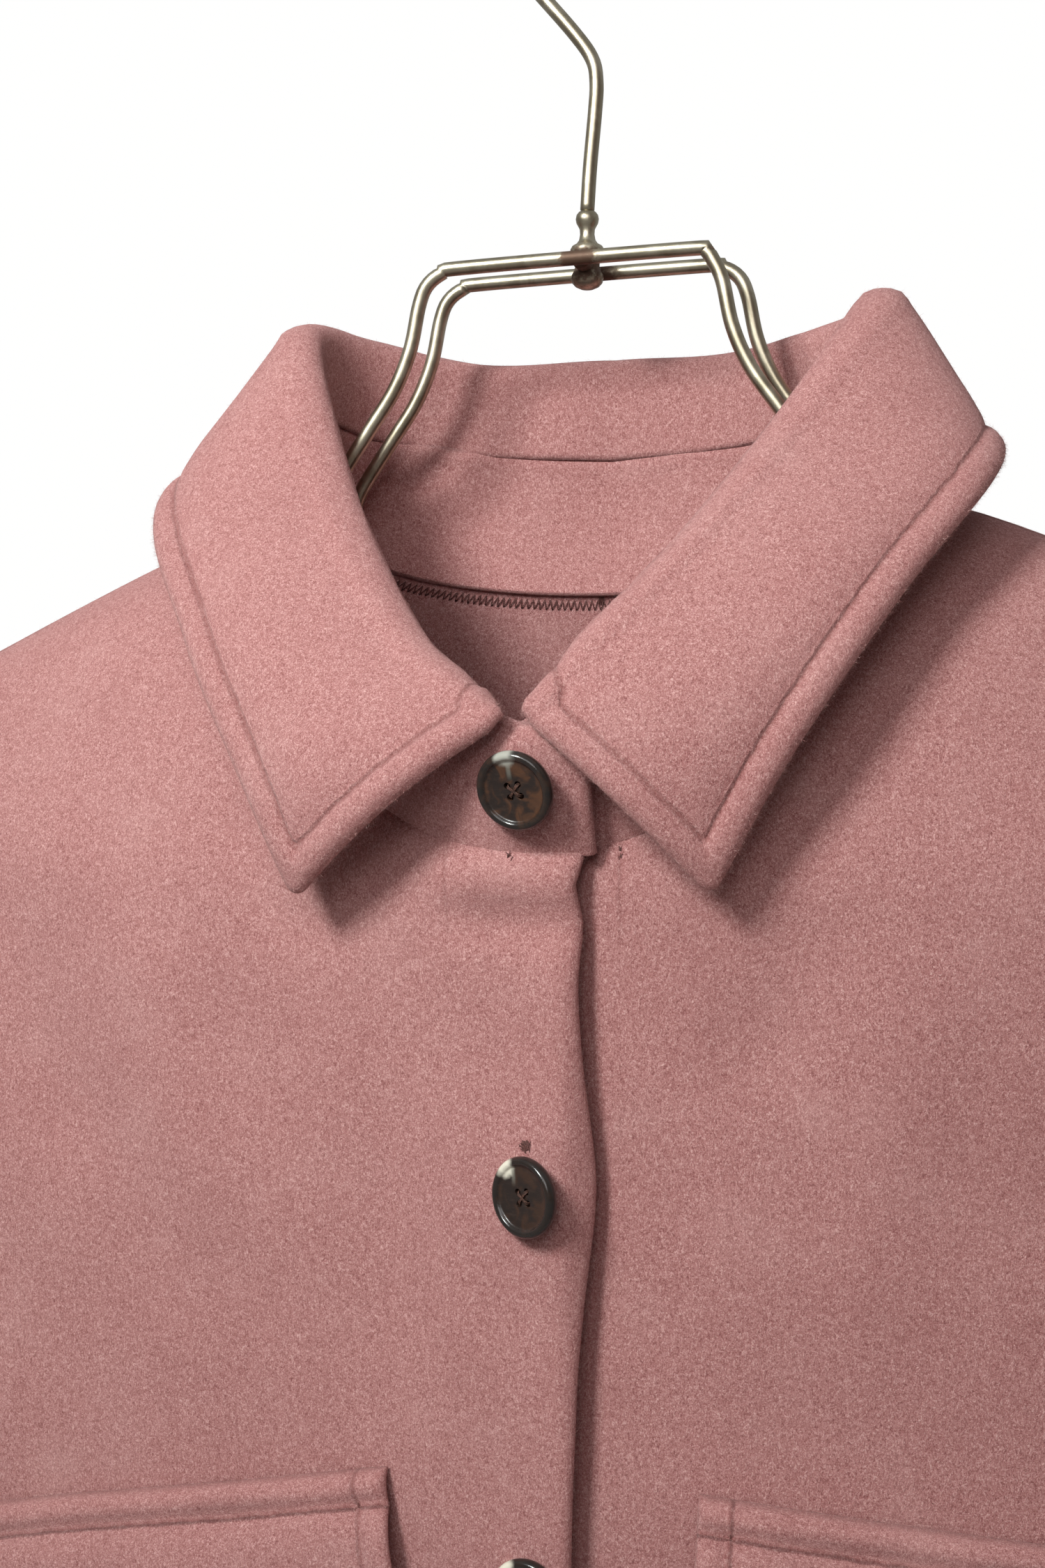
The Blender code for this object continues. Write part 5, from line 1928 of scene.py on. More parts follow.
@dataclass
class Sleeves:
    """Both sleeves with their cuffs."""

    form: BodyForm
    looks: Looks
    sewing: Sewing
    half_turns: int = 32
    cuff_height: float = 0.060
    top_inset: float = 0.004
    hem_inset: float = 0.006
    made: list[Cloth] = field(default_factory=list)

    def build(self) -> None:
        """Builds both sides."""
        for side in Side:
            self._sleeve(side)
            self._cuff(side)

    def _body(self, front: bool, side: Side, spots: Array) -> Array:
        """Points of the body at places on the armhole.

        Args:
            front: on the front, or else on the back.
            side: which side.
            spots: distance from the middle and height.

        Returns:
            The points.
        """
        own, z = spots[:, 0], spots[:, 1]
        if front:
            return self.form.front(side, own, z)
        return self.form.back(side.value * own, z)

    def _seam(self, side: Side) -> tuple[Array, Array]:
        """The armhole ring and the way the sleeve leaves it.

        Args:
            side: which side.

        Returns:
            Points and unit vectors.
        """
        points = []
        ways = []
        for front in (True, False):
            turns = np.arange(self.half_turns + 1) / self.half_turns
            turns = (turns if front else turns[::-1])[:-1]
            spots = self.form.armhole(turns)
            step = self.form.armhole(turns + 0.01) - spots
            here = self._body(front, side, spots)
            ahead = self._body(front, side, spots + step)
            inner = spots - unit(np.stack((-step[:, 1], step[:, 0]), axis=1)) * 0.002
            inside = self._body(front, side, inner)
            face = unit(np.cross(ahead - here, inside - here))
            centre = np.stack((0 * here[:, 0], np.full(len(here), SEAM_Y), here[:, 2]), axis=1)
            face *= np.sign(np.sum(face * (here - centre), axis=1, keepdims=True))
            way = unit(np.cross(ahead - here, face))
            way *= np.sign(np.sum(way * (here - inside), axis=1, keepdims=True))
            out = (0.5 * math.pi * ease((turns - 0.45) / 0.55))[:, None]
            way = unit(way * np.cos(out) + face * np.sin(out))
            way[turns == 0.0] = unit(np.array((side.value, 0.0, -self.form.slope)))
            way[turns == 1.0] = (side.value, 0.0, 0.0)
            points.append(here)
            ways.append(way)
        ring = np.concatenate(points)
        ring[0, 1] = SEAM_Y
        ring[self.half_turns, 1] = SEAM_Y
        return ring, np.concatenate(ways)

    def _ring(self, side: Side, row: Sequence[float]) -> Array:
        """An oval ring.

        Args:
            side: which side.
            row: inner x and z, outer x and z, half depth.

        Returns:
            The ring's points.
        """
        inner = np.array((side.value * row[0], SEAM_Y, row[1]))
        outer = np.array((side.value * row[2], SEAM_Y, row[3]))
        turn = 2.0 * math.pi * np.arange(2 * self.half_turns) / (2 * self.half_turns)
        flat = np.abs(np.cos(turn)) ** 0.9 * np.sign(np.cos(turn))
        points = (inner + outer) * 0.5 + (outer - inner) * 0.5 * flat[:, None]
        points[:, 1] -= row[4] * np.sin(turn)
        return points

    def _sleeve(self, side: Side) -> None:
        """Builds one sleeve.

        Args:
            side: which side.
        """
        seam, ways = self._seam(side)
        stops = [seam + ways * 0.0004, seam + ways * 0.0030]
        for row in SLEEVE_ROWS:
            ring, free = self._ring(side, row), row[5]
            drop = (ring.mean(axis=0) - seam.mean(axis=0)) * free
            stops.append((seam + ways * 0.010 + drop) * (1.0 - free) + ring * free)
        down = np.concatenate(((0.0, 0.001, 0.003, 0.006, 0.010, 0.014, 0.019, 0.025, 0.032),
                               np.linspace(0.04, 1.0, 84)))
        grid = smooth_rows(np.array(stops), down)
        cloth = Cloth("cloth_sleeve_" + side.name.lower(), grid, ring=True,
                      free=(Border.TOP, Border.BOTTOM))
        turn = np.broadcast_to(np.arange(grid.shape[1]) / grid.shape[1], grid.shape[:2])
        share = np.broadcast_to(down[:, None], grid.shape[:2])
        rows = [(a * 0.30, b * 0.50, c * 0.30, d * 0.50, e, f, g)
                for a, b, c, d, e, f, g in SLEEVE_CREASES]
        ends = ease(share / 0.12) * ease((1.0 - share) / 0.05)
        cloth.move((creases(rows, turn * 0.30, share * 0.50)
                    + waver(grid, 51 + side.value, 0.07, 0.0012)) * ends)
        top = cloth.distance(Border.TOP)
        under = np.abs(turn - 0.5) * 0.30
        # The seam mark sets where painted shade darkens the sleeve: at both ends and along the
        # underseam.
        cloth.marks = {"stitch": NO_LINE, "stitch_b": NO_LINE,
                       "seam": np.minimum(np.minimum(top, cloth.distance(Border.BOTTOM)),
                                          under)}
        cloth.lift = -0.0006 * np.exp(-(under / 0.003) ** 2)
        cloth.dress(self.looks.wool, "hung",
                    ("cloth_front_" + side.name.lower(), "cloth_back"))
        self.made.append(cloth)

    def _cuff(self, side: Side) -> None:
        """Builds one cuff.

        Args:
            side: which side.
        """
        last = list(SLEEVE_ROWS[-1][:5])
        rows = []
        down = spread(self.cuff_height, 0.004)
        for share in down:
            drop = 0.0004 + share * self.cuff_height
            swell = 0.0016 * float(ease(drop / 0.006)) - 0.0005 * share
            row = list(last)
            row[0] -= swell + 0.02 * drop
            row[2] += swell - 0.02 * drop
            row[1] -= drop
            row[3] -= drop
            row[4] += swell
            rows.append(self._ring(side, row))
        cloth = Cloth("cloth_cuff_" + side.name.lower(), np.array(rows), ring=True,
                      thick=0.0030, free=(Border.TOP, Border.BOTTOM))
        top, low = cloth.distance(Border.TOP), cloth.distance(Border.BOTTOM)
        count = cloth.grid.shape[1]
        lap = (np.arange(count) / count - 0.86) * 0.24
        lap = np.broadcast_to(lap, top.shape)
        # The seam mark puts painted shade along the line where the cuff laps over itself.
        cloth.marks = {"stitch": joined(top - self.top_inset, low - self.hem_inset),
                       "stitch_b": lap,
                       "seam": 0.5 * np.abs(lap) + 0.0002}
        over = 0.0010 * ease((lap + 0.0005) / 0.002) * ease((0.05 - lap) / 0.02)
        cloth.lift = (puff(low, self.hem_inset, 0.0004, 0.0003) + over
                      + waver(cloth.grid, 61, 0.05, 0.0005))
        cloth.dress(self.looks.wool, "hung", ("cloth_sleeve_" + side.name.lower(),))
        self.made.append(cloth)
        self.sewing.run(cloth.line(Border.TOP, self.top_inset))
        self.sewing.run(cloth.line(Border.BOTTOM, self.hem_inset))


@dataclass
class Pockets:
    """Patch pockets and the flaps over them."""

    form: BodyForm
    looks: Looks
    sewing: Sewing
    width: float = 0.128
    drop: float = 0.062
    height: float = 0.132
    top_inset: float = 0.0092
    flap_inset: float = 0.0082
    pocket_inset: float = 0.006
    made: list[Cloth] = field(default_factory=list)

    def build(self) -> None:
        """Builds both sides."""
        for side in Side:
            self._pocket(side)
            self._flap(side)

    def _top(self, side: Side, own: Array) -> Array:
        """Height of a flap's top line.

        Args:
            side: which side.
            own: distance from the middle.

        Returns:
            The height.
        """
        slope = 0.200 if side is Side.RIGHT else 0.105
        return -0.2592 - slope * (own - 0.0410)

    def _flap(self, side: Side) -> None:
        """Builds one flap.

        Args:
            side: which side.
        """
        start, lean = (0.0385, 0.200) if side is Side.RIGHT else (0.0415, 0.030)
        part = spread(self.drop, 0.0036)[:, None]
        own = start + self.width * spread(self.width, 0.0042)[None, :]
        z = self._top(side, own) - self.drop * part
        own = own - lean * self.drop * part
        lift = 0.0033 + 0.0047 * ease(part / 0.3) + 0.0030 * part + 0 * own
        lift = lift - 0.0012 * (1.0 - ease(part * self.drop / 0.0028))
        cloth = Cloth("cloth_flap_" + side.name.lower(), self.form.front(side, own, z, lift),
                      thick=0.0026, free=tuple(Border))
        top = cloth.distance(Border.TOP)
        rim = cloth.distance(Border.LEFT, Border.RIGHT, Border.BOTTOM)
        # The seam mark paints shade in a band along the flap's top edge, where it meets the
        # front.
        cloth.marks = {"stitch": top - self.top_inset, "stitch_b": rim - self.flap_inset,
                       "seam": 0.6 * top}
        apart = np.minimum(rim, top)
        cloth.deep = -0.0014 * (1.0 - ease(top / 0.0028))
        share = np.clip(top / self.top_inset, 0.0, 1.0)
        cloth.lift = (0.0030 * np.sin(math.pi * share) ** 0.8
                      - 0.0013 * np.exp(-((top - self.top_inset) / 0.0020) ** 2)
                      + puff(rim, self.flap_inset, 0.0009, 0.0006) * ease((top - 0.004) / 0.006)
                      + waver(cloth.grid, 71 + side.value, 0.030, 0.0007) * ease(apart / 0.01))
        cloth.dress(self.looks.wool, "laid", ("cloth_front_" + side.name.lower(),))
        self.made.append(cloth)
        self.sewing.run(cloth.line(Border.TOP, self.top_inset))
        self._sew(cloth, self.flap_inset)

    def _pocket(self, side: Side) -> None:
        """Builds one patch pocket.

        Args:
            side: which side.
        """
        lean = 0.200 if side is Side.RIGHT else 0.030
        part = spread(self.height, 0.0050)[:, None]
        wide = self.width - 0.010
        own = 0.0430 + wide * spread(wide, 0.0050)[None, :]
        z = self._top(side, own) - 0.014 - self.height * part
        own = own - lean * (0.014 + self.height * part)
        cloth = Cloth("cloth_pocket_" + side.name.lower(),
                      self.form.front(side, own, z, 0.0026 + 0 * own), thick=0.0019,
                      free=tuple(Border))
        rim = cloth.distance(Border.LEFT, Border.RIGHT, Border.BOTTOM)
        top = cloth.distance(Border.TOP)
        cloth.marks = {"stitch": rim - self.pocket_inset, "stitch_b": top - 0.022,
                       "seam": NO_LINE}
        cloth.lift = (puff(rim, self.pocket_inset, 0.0004, 0.0003)
                      + waver(cloth.grid, 81, 0.04, 0.0003))
        cloth.dress(self.looks.wool, "laid", ("cloth_front_" + side.name.lower(),))
        self.made.append(cloth)
        self._sew(cloth, self.pocket_inset)

    def _sew(self, cloth: Cloth, inset: float) -> None:
        """Sews one piece down its sides and along its bottom.

        Args:
            cloth: the piece.
            inset: distance of the stitches from the edge.
        """
        for border in (Border.LEFT, Border.RIGHT):
            self.sewing.run(cloth.line(border, inset, {Border.BOTTOM: inset}))
        self.sewing.run(cloth.line(Border.BOTTOM, inset,
                                   {Border.LEFT: inset, Border.RIGHT: inset}))


@dataclass
class Buttons:
    """Horn buttons in the place of the frame's, with four holes and thread."""

    radius: float = BUTTON_RADIUS
    height: float = 0.0040
    hole_out: float = 0.0021
    hole_radius: float = 0.00085
    hole_turn: float = 53.0

    def build(self) -> None:
        """Builds all the buttons."""
        thread = ThreadFinish("button_thread", (0.030, 0.014, 0.010, 1.0),
                              (0.110, 0.050, 0.035, 1.0)).build()
        finishes = (
            Horn("horn_grey_patch", (-0.0012, 0.0088), (0.40, 0.40, 0.35, 1.0)).build(),
            Horn("horn_cream_patch", (-0.0052, 0.0072), (0.80, 0.76, 0.63, 1.0), 0.3).build(),
            Horn("horn_low_patch", (0.0066, -0.0055), (0.45, 0.40, 0.30, 1.0), 0.5).build(),
        )
        blank = self._blank()
        names = ["button_%d" % (k + 1) for k in range(6)]
        names += ["cuff_button_right", "cuff_button_left"]
        for k, name in enumerate(names):
            matrix = self._place(name)
            obj = bpy.data.objects.new("turned_" + name, blank.copy())
            obj.matrix_world = matrix
            bpy.context.scene.collection.objects.link(obj)
            obj.data.materials.clear()
            obj.data.materials.append(finishes[k if k < 2 else 1 + k % 2])
            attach(obj, "root")
            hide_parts(name)
            self._thread(name, matrix, thread)

    def _way(self, hole: int) -> tuple[float, float, float]:
        """The way from the middle to one of the four holes.

        Args:
            hole: which hole.

        Returns:
            A unit vector across the button.
        """
        turn = math.radians(self.hole_turn + 90.0 * hole)
        return (math.cos(turn), math.sin(turn), 0.0)

    def _profile(self) -> list[tuple[float, float]]:
        """Radius and height down one side of the button, centre to centre.

        Returns:
            The profile.
        """
        r, h = self.radius, self.height
        shape = [(0.0, 0.0), (0.60 * r, 0.0), (0.78 * r, 0.0001), (0.90 * r, 0.0005),
                 (0.965 * r, 0.0011), (0.995 * r, 0.0019), (r, 0.0025), (0.985 * r, 0.0032),
                 (0.945 * r, 0.0037), (0.895 * r, h), (0.845 * r, 0.985 * h),
                 (0.805 * r, 0.92 * h), (0.780 * r, 0.83 * h), (0.760 * r, 0.775 * h),
                 (0.735 * r, 0.755 * h), (0.60 * r, 0.735 * h), (0.40 * r, 0.715 * h),
                 (0.20 * r, 0.70 * h), (0.0, 0.695 * h)]
        return shape

    def _blank(self) -> bpy.types.Mesh:
        """Turns one button and drills its holes.

        Returns:
            The mesh.
        """
        work = bmesh.new()
        line = [work.verts.new((radius, 0.0, height)) for radius, height in self._profile()]
        edges = [work.edges.new(pair) for pair in zip(line, line[1:])]
        bmesh.ops.spin(work, geom=line + edges, cent=(0, 0, 0), axis=(0, 0, 1),
                       angle=2.0 * math.pi, steps=64, use_merge=True)
        bmesh.ops.remove_doubles(work, verts=work.verts, dist=1e-6)
        bmesh.ops.recalc_face_normals(work, faces=work.faces)
        mesh = bpy.data.meshes.new("button_blank")
        work.to_mesh(mesh)
        work.free()
        blank = bpy.data.objects.new("button_blank", mesh)
        bpy.context.scene.collection.objects.link(blank)
        cutter_work = bmesh.new()
        for k in range(4):
            at = Vector(self._way(k)) * self.hole_out
            at.z = self.height * 0.5
            bmesh.ops.create_cone(cutter_work, cap_ends=True, segments=20,
                                  radius1=self.hole_radius, radius2=self.hole_radius,
                                  depth=self.height * 2.0, matrix=Matrix.Translation(at))
        cutter_mesh = bpy.data.meshes.new("hole_cutter")
        cutter_work.to_mesh(cutter_mesh)
        cutter_work.free()
        cutter = bpy.data.objects.new("hole_cutter", cutter_mesh)
        bpy.context.scene.collection.objects.link(cutter)
        holes = blank.modifiers.new("holes", "BOOLEAN")
        holes.operation = "DIFFERENCE"
        holes.solver = "EXACT"
        holes.object = cutter
        soft = blank.modifiers.new("soft", "BEVEL")
        soft.width = 0.00012
        soft.segments = 2
        soft.angle_limit = math.radians(50.0)
        graph = bpy.context.evaluated_depsgraph_get()
        result = bpy.data.meshes.new_from_object(blank.evaluated_get(graph))
        result.polygons.foreach_set("use_smooth", [True] * len(result.polygons))
        for obj in (blank, cutter):
            bpy.data.objects.remove(obj, do_unlink=True)
        return result

    def _place(self, name: str) -> Matrix:
        """Where the frame's own button is.

        Args:
            name: the node.

        Returns:
            The place, with Z out of the button's face and Y up.
        """
        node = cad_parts[name]
        verts = np.array([node.matrix_world @ v.co for v in node.data.vertices])
        centre = verts.mean(axis=0)
        axis = np.linalg.svd(verts - centre)[2][2]
        low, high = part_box(name.replace("cuff_button", "cuff")) if "cuff" in name else (0, 0)
        middle = 0.5 * (np.array(low) + np.array(high)) if "cuff" in name else np.zeros(3)
        way = centre - middle
        way[2] = 0.0
        if float(axis @ way) < 0.0:
            axis = -axis
        base = centre + axis * float(((verts - centre) @ axis).min())
        up = unit(np.array((0.0, 0.0, 1.0)) - axis * axis[2])
        side = np.cross(up, axis)
        rows = np.stack((side, up, axis, base), axis=1)
        return Matrix([list(row) for row in rows] + [[0.0, 0.0, 0.0, 1.0]])

    def _thread(self, name: str, matrix: Matrix, look: bpy.types.Material) -> None:
        """Crosses thread from hole to hole.

        Args:
            name: the button's node.
            matrix: the button's place.
            look: the thread's material.
        """
        bars = Bars("thread_" + name)
        floor = self.height * 0.70
        for k in range(4):
            out = np.array(self._way(k))
            side = np.array((-out[1], out[0], 0.0))
            for shift in (-0.00026, 0.0, 0.00026):
                stops = [out * self.hole_out * 1.12 + side * shift - (0, 0, -0.0004),
                         out * self.hole_out * 1.02 + side * shift + (0, 0, floor - 0.0006),
                         out * self.hole_out * 0.80 + side * shift + (0, 0, floor + 0.00022),
                         out * self.hole_out * 0.35 + side * shift * 0.6
                         + (0, 0, floor + 0.00034),
                         out * -0.0002 + side * shift * 0.4 + (0, 0, floor + 0.00020)]
                path = np.array([list(matrix @ Vector(p)) for p in stops])
                bars.add(path, 0.00019, sides=6, step=0.0004)
        obj = bars.build(look)
        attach(obj, "root")


@dataclass
class Bars:
    """Round bars gathered into one mesh; their points are already in the frame's place."""

    name: str
    verts: list[Array] = field(default_factory=list)
    faces: list[tuple[int, ...]] = field(default_factory=list)

    def add(self, stops: Array, radius: float, sides: int = 16, step: float = 0.0015) -> None:
        """Adds a bar along a smooth path.

        Args:
            stops: points that the path runs through.
            radius: the bar's radius.
            sides: corners of its section.
            step: spacing of its rings.
        """
        length = float(np.linalg.norm(np.diff(stops, axis=0), axis=1).sum())
        count = max(3, round(length / step))
        path = smooth_rows(np.asarray(stops)[:, None, :], np.linspace(0.0, 1.0, count + 1))[:, 0]
        along = unit(np.gradient(path, axis=0))
        start = np.array((0.0, 1.0, 0.0) if abs(along[0, 1]) < 0.9 else (1.0, 0.0, 0.0))
        first = sum(len(v) for v in self.verts)
        rings = []
        side = start
        for k in range(len(path)):
            side = unit(side - along[k] * float(side @ along[k]))
            up = np.cross(along[k], side)
            ends = ((1.0, 0.0),)
            if k == 0:
                ends = ((0.55, -0.35), (1.0, 0.0))
            if k == len(path) - 1:
                ends = ((1.0, 0.0), (0.55, 0.35))
            for share, push in ends:
                turn = 2.0 * math.pi * np.arange(sides)[:, None] / sides
                spokes = side * np.cos(turn) + up * np.sin(turn)
                rings.append(path[k] + spokes * radius * share + along[k] * push * radius)
        for r in range(len(rings) - 1):
            for k in range(sides):
                m = (k + 1) % sides
                a = first + r * sides
                self.faces.append((a + k, a + m, a + sides + m, a + sides + k))
        last = first + (len(rings) - 1) * sides
        self.faces.append(tuple(range(first + sides - 1, first - 1, -1)))
        self.faces.append(tuple(range(last, last + sides)))
        self.verts.append(np.concatenate(rings))

    def build(self, look: bpy.types.Material) -> bpy.types.Object:
        """Makes the mesh.

        Args:
            look: its material.

        Returns:
            The new object.
        """
        obj = new_object(self.name, np.concatenate(self.verts), self.faces, look)
        weld(obj, 1e-7)
        return obj


@dataclass
class Hanger:
    """The double wire hanger, its ferrule and its hook."""

    form: BodyForm = field(default_factory=BodyForm)
    radius: float = 0.0020
    spread_y: float = 0.010
    lean: float = 0.020
    shift: float = -0.0012
    bend: float = -0.0036
    bar_z: float = 0.0575
    rows: tuple[tuple[float, float], ...] = (
        (0.0310, 0.0575), (0.0372, 0.0566), (0.0418, 0.0535), (0.0442, 0.0480),
        (0.0468, 0.0360), (0.0515, 0.0250), (0.0590, 0.0140), (0.0680, 0.0010),
        (0.0713, -0.0075), (0.0742, -0.0165), (0.0805, -0.0232))

    def build(self) -> None:
        """Builds the hanger."""
        brass = Brass().build()
        for way, word in ((-1, "front"), (1, "back")):
            wire = Bars("wire_" + word)
            wire.add(placed(self._wire(way)), self.radius)
            self._finish(wire.build(brass), "hanger_wire_" + word)
            bridge = Bars("bridge_" + word)
            ends = [(0.0, HANGER_Y + way * y, self.bar_z) for y in (0.0030, 0.0055, 0.0082)]
            bridge.add(placed(np.array(ends)), 0.0024, step=0.0008)
            self._finish(bridge.build(brass), "hanger_bridge_" + word)
        hook = Bars("hook")
        hook.add(placed(self._hook()), self.radius)
        self._finish(hook.build(brass), "hanger_hook")
        self._ferrule(brass)

    def _under(self, x: float, y: float) -> float:
        """Height of a wire just below the shoulder's cloth.

        Args:
            x: across.
            y: depth.

        Returns:
            The height.
        """
        across = min(1.0, abs(x) / self.form.underarm[0])
        panel = "front" if y < SEAM_Y else "back"
        top = float(self.form.shoulder_z(x))
        depth = float(BODY.read(panel, top)) * (1.0 - across ** 1.6) ** 0.6
        share = min(0.95, abs(y - SEAM_Y) / depth)
        drop = 0.130 * (1.0 - math.sqrt(1.0 - share ** 2))
        return top - drop - CLOTH - self.radius - 0.0026

    def _wire(self, way: int) -> Array:
        """The path of one wire.

        Args:
            way: -1 for the front wire, 1 for the back one.

        Returns:
            The path's points.
        """
        half = [(x, HANGER_Y + way * self.spread_y, z) for x, z in self.rows]
        for k in range(1, 12):
            x = 0.088 + 0.100 * k / 11
            y = HANGER_Y + way * (self.spread_y - 0.005 * float(ease((x - 0.095) / 0.080)))
            slack = 0.003 * (1.0 - k / 11) ** 3 + 0.004 * float(ease((x - 0.120) / 0.060))
            half.append((x, y, self._under(x, y) - slack))
        right = np.array(half)
        left = right[::-1] * (-1.0, 1.0, 1.0)
        path = np.concatenate((left, right))
        leg = (ease((np.abs(path[:, 0]) - 0.034) / 0.008)
               * ease((0.090 - np.abs(path[:, 0])) / 0.014))
        tilt = self.lean * path[:, 0] * (np.abs(path[:, 0]) < 0.081)
        path[:, 2] += tilt
        path[:, 0] += self.shift * ease((0.090 - np.abs(path[:, 0])) / 0.03)
        if way < 0:
            path[:, 0] += self.bend * leg * (path[:, 0] > 0.0)
        return path

    def _hook(self) -> Array:
        """The path of the hook's wire.

        Returns:
            The path's points.
        """
        path = [(0.0, self.bar_z + 0.0155), (0.0008, 0.085), (0.0022, 0.100),
                (0.0026, 0.108), (0.0014, 0.1145), (-0.0040, 0.1225)]
        radius = 0.0220
        middle = HOOK_TOP - radius + self.radius
        for k in range(17):
            turn = math.radians(222.0 - 240.0 * k / 16)
            path.append((radius * math.cos(turn), middle + radius * math.sin(turn)))
        return np.array([(x, HANGER_Y, z) for x, z in path])

    def _ferrule(self, look: bpy.types.Material) -> None:
        """Turns the ferrule: a ball, a collar, a stem and the hook's ball joint.

        Args:
            look: its material.
        """
        profile = ((0.0, -0.0064), (0.0018, -0.0062), (0.0033, -0.0055), (0.0042, -0.0045),
                   (0.0045, -0.0034), (0.0043, -0.0022), (0.0036, -0.0012), (0.0034, 0.0),
                   (0.0035, 0.0020), (0.0041, 0.0029), (0.0046, 0.0036), (0.0047, 0.0046),
                   (0.0042, 0.0055), (0.0030, 0.0062), (0.0023, 0.0072), (0.0020, 0.0088),
                   (0.0021, 0.0102),
                   (0.0025, 0.0110), (0.0030, 0.0119), (0.0032, 0.0130), (0.0030, 0.0141),
                   (0.0024, 0.0149), (0.0014, 0.0154), (0.0, 0.0156))
        work = bmesh.new()
        centre = placed(np.array((0.0, HANGER_Y, self.bar_z)))
        line = [work.verts.new(centre + (radius, 0.0, z)) for radius, z in profile]
        edges = [work.edges.new(pair) for pair in zip(line, line[1:])]
        bmesh.ops.spin(work, geom=line + edges, cent=centre, axis=(0, 0, 1),
                       angle=2.0 * math.pi, steps=32, use_merge=True)
        bmesh.ops.remove_doubles(work, verts=work.verts, dist=1e-6)
        bmesh.ops.recalc_face_normals(work, faces=work.faces)
        mesh = bpy.data.meshes.new("ferrule")
        work.to_mesh(mesh)
        work.free()
        mesh.polygons.foreach_set("use_smooth", [True] * len(mesh.polygons))
        mesh.materials.append(look)
        obj = bpy.data.objects.new("ferrule", mesh)
        bpy.context.scene.collection.objects.link(obj)
        self._finish(obj, "hanger_ferrule")

    def _finish(self, obj: bpy.types.Object, node: str) -> None:
        """Ties a piece to the frame.

        Args:
            obj: the piece.
            node: the node it stands for.
        """
        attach(obj, "root")
        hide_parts(node)


@dataclass
class Jacket:
    """The whole jacket."""

    form: BodyForm = field(default_factory=BodyForm)

    def build(self) -> None:
        """Builds every piece of cloth, thread and horn."""
        looks = Looks(
            Wool().build(), Fibre().build(),
            ThreadFinish("pink_thread", (0.150, 0.058, 0.052, 1.0),
                         (0.300, 0.135, 0.122, 1.0)).build(),
            ThreadFinish("overlock_thread", (0.070, 0.026, 0.023, 1.0),
                         (0.170, 0.070, 0.062, 1.0)).build())
        sewing = Sewing("stitching", sink=0.00036)
        faint = Sewing("sunk_stitching", sink=0.00060)
        overlock = Sewing("overlock", radius=0.00015, sink=0.0)
        fronts = Fronts(self.form, looks, sewing, faint, overlock)
        fronts.build()
        back = Back(self.form, looks, sewing, overlock)
        back.build()
        collar = Collar(self.form, looks, sewing)
        collar.build()
        sleeves = Sleeves(self.form, looks, sewing)
        sleeves.build()
        pockets = Pockets(self.form, looks, sewing)
        pockets.build()
        Buttons().build()
        sewing.build(looks.thread, "front_right_wool")
        faint.build(looks.thread, "front_right_wool")
        overlock.build(looks.overlock, "back_wool")
        self._fuzz(looks, fronts, back, collar, sleeves, pockets)

    def _fuzz(self, looks: Looks, fronts: Fronts, back: Back, collar: Collar,
              sleeves: Sleeves, pockets: Pockets) -> None:
        """Grows the loose fibres, most thickly along free edges.

        Args:
            looks: the finishes.
            fronts: the fronts.
            back: the back.
            collar: the collar.
            sleeves: the sleeves.
            pockets: the pockets and flaps.
        """
        short, middling, long, lean = 0.0011, 0.0012, 0.0014, 0.5
        leaf = Fuzz("fuzz_collar", 301)
        edge = collar.leaf.distance(*collar.leaf.free)
        leaf.grow(collar.leaf, 42000, 0.0013, 0.55, 0.4 + 6.0 * np.exp(-edge / 0.0025))
        leaf.grow(collar.leaf, 9000, short, 0.55, np.exp(-edge / 0.003), inner=True)
        leaf.grow(collar.stand, 6000, short, lean)
        leaf.grow(collar.stand, 7000, short, lean, inner=True)
        leaf.build(looks.fibre, "collar_wool")
        body = Fuzz("fuzz_fronts", 302)
        for cloth in fronts.made.values():
            edge = cloth.distance(Border.LEFT)
            high = ease((cloth.grid[..., 2] + 0.34) / 0.10)
            body.grow(cloth, 31000, middling, lean, 0.06 + high + 4.0 * np.exp(-edge / 0.003))
        body.build(looks.fibre, "front_right_wool")
        small = Fuzz("fuzz_pockets", 303)
        for cloth in pockets.made:
            edge = cloth.distance(*Border)
            small.grow(cloth, 9000, short, lean, 0.5 + 4.0 * np.exp(-edge / 0.003))
        small.build(looks.fibre, "flap_right_wool")
        rest = Fuzz("fuzz_sleeves_back", 304)
        for cloth in sleeves.made:
            rest.grow(cloth, 5000, long, lean)
        rest.grow(back.made, 9000, long, lean)
        neck = np.exp(-back.made.distance(Border.TOP) / 0.05)
        rest.grow(back.made, 6000, middling, lean, neck, inner=True)
        rest.build(looks.fibre, "back_wool")


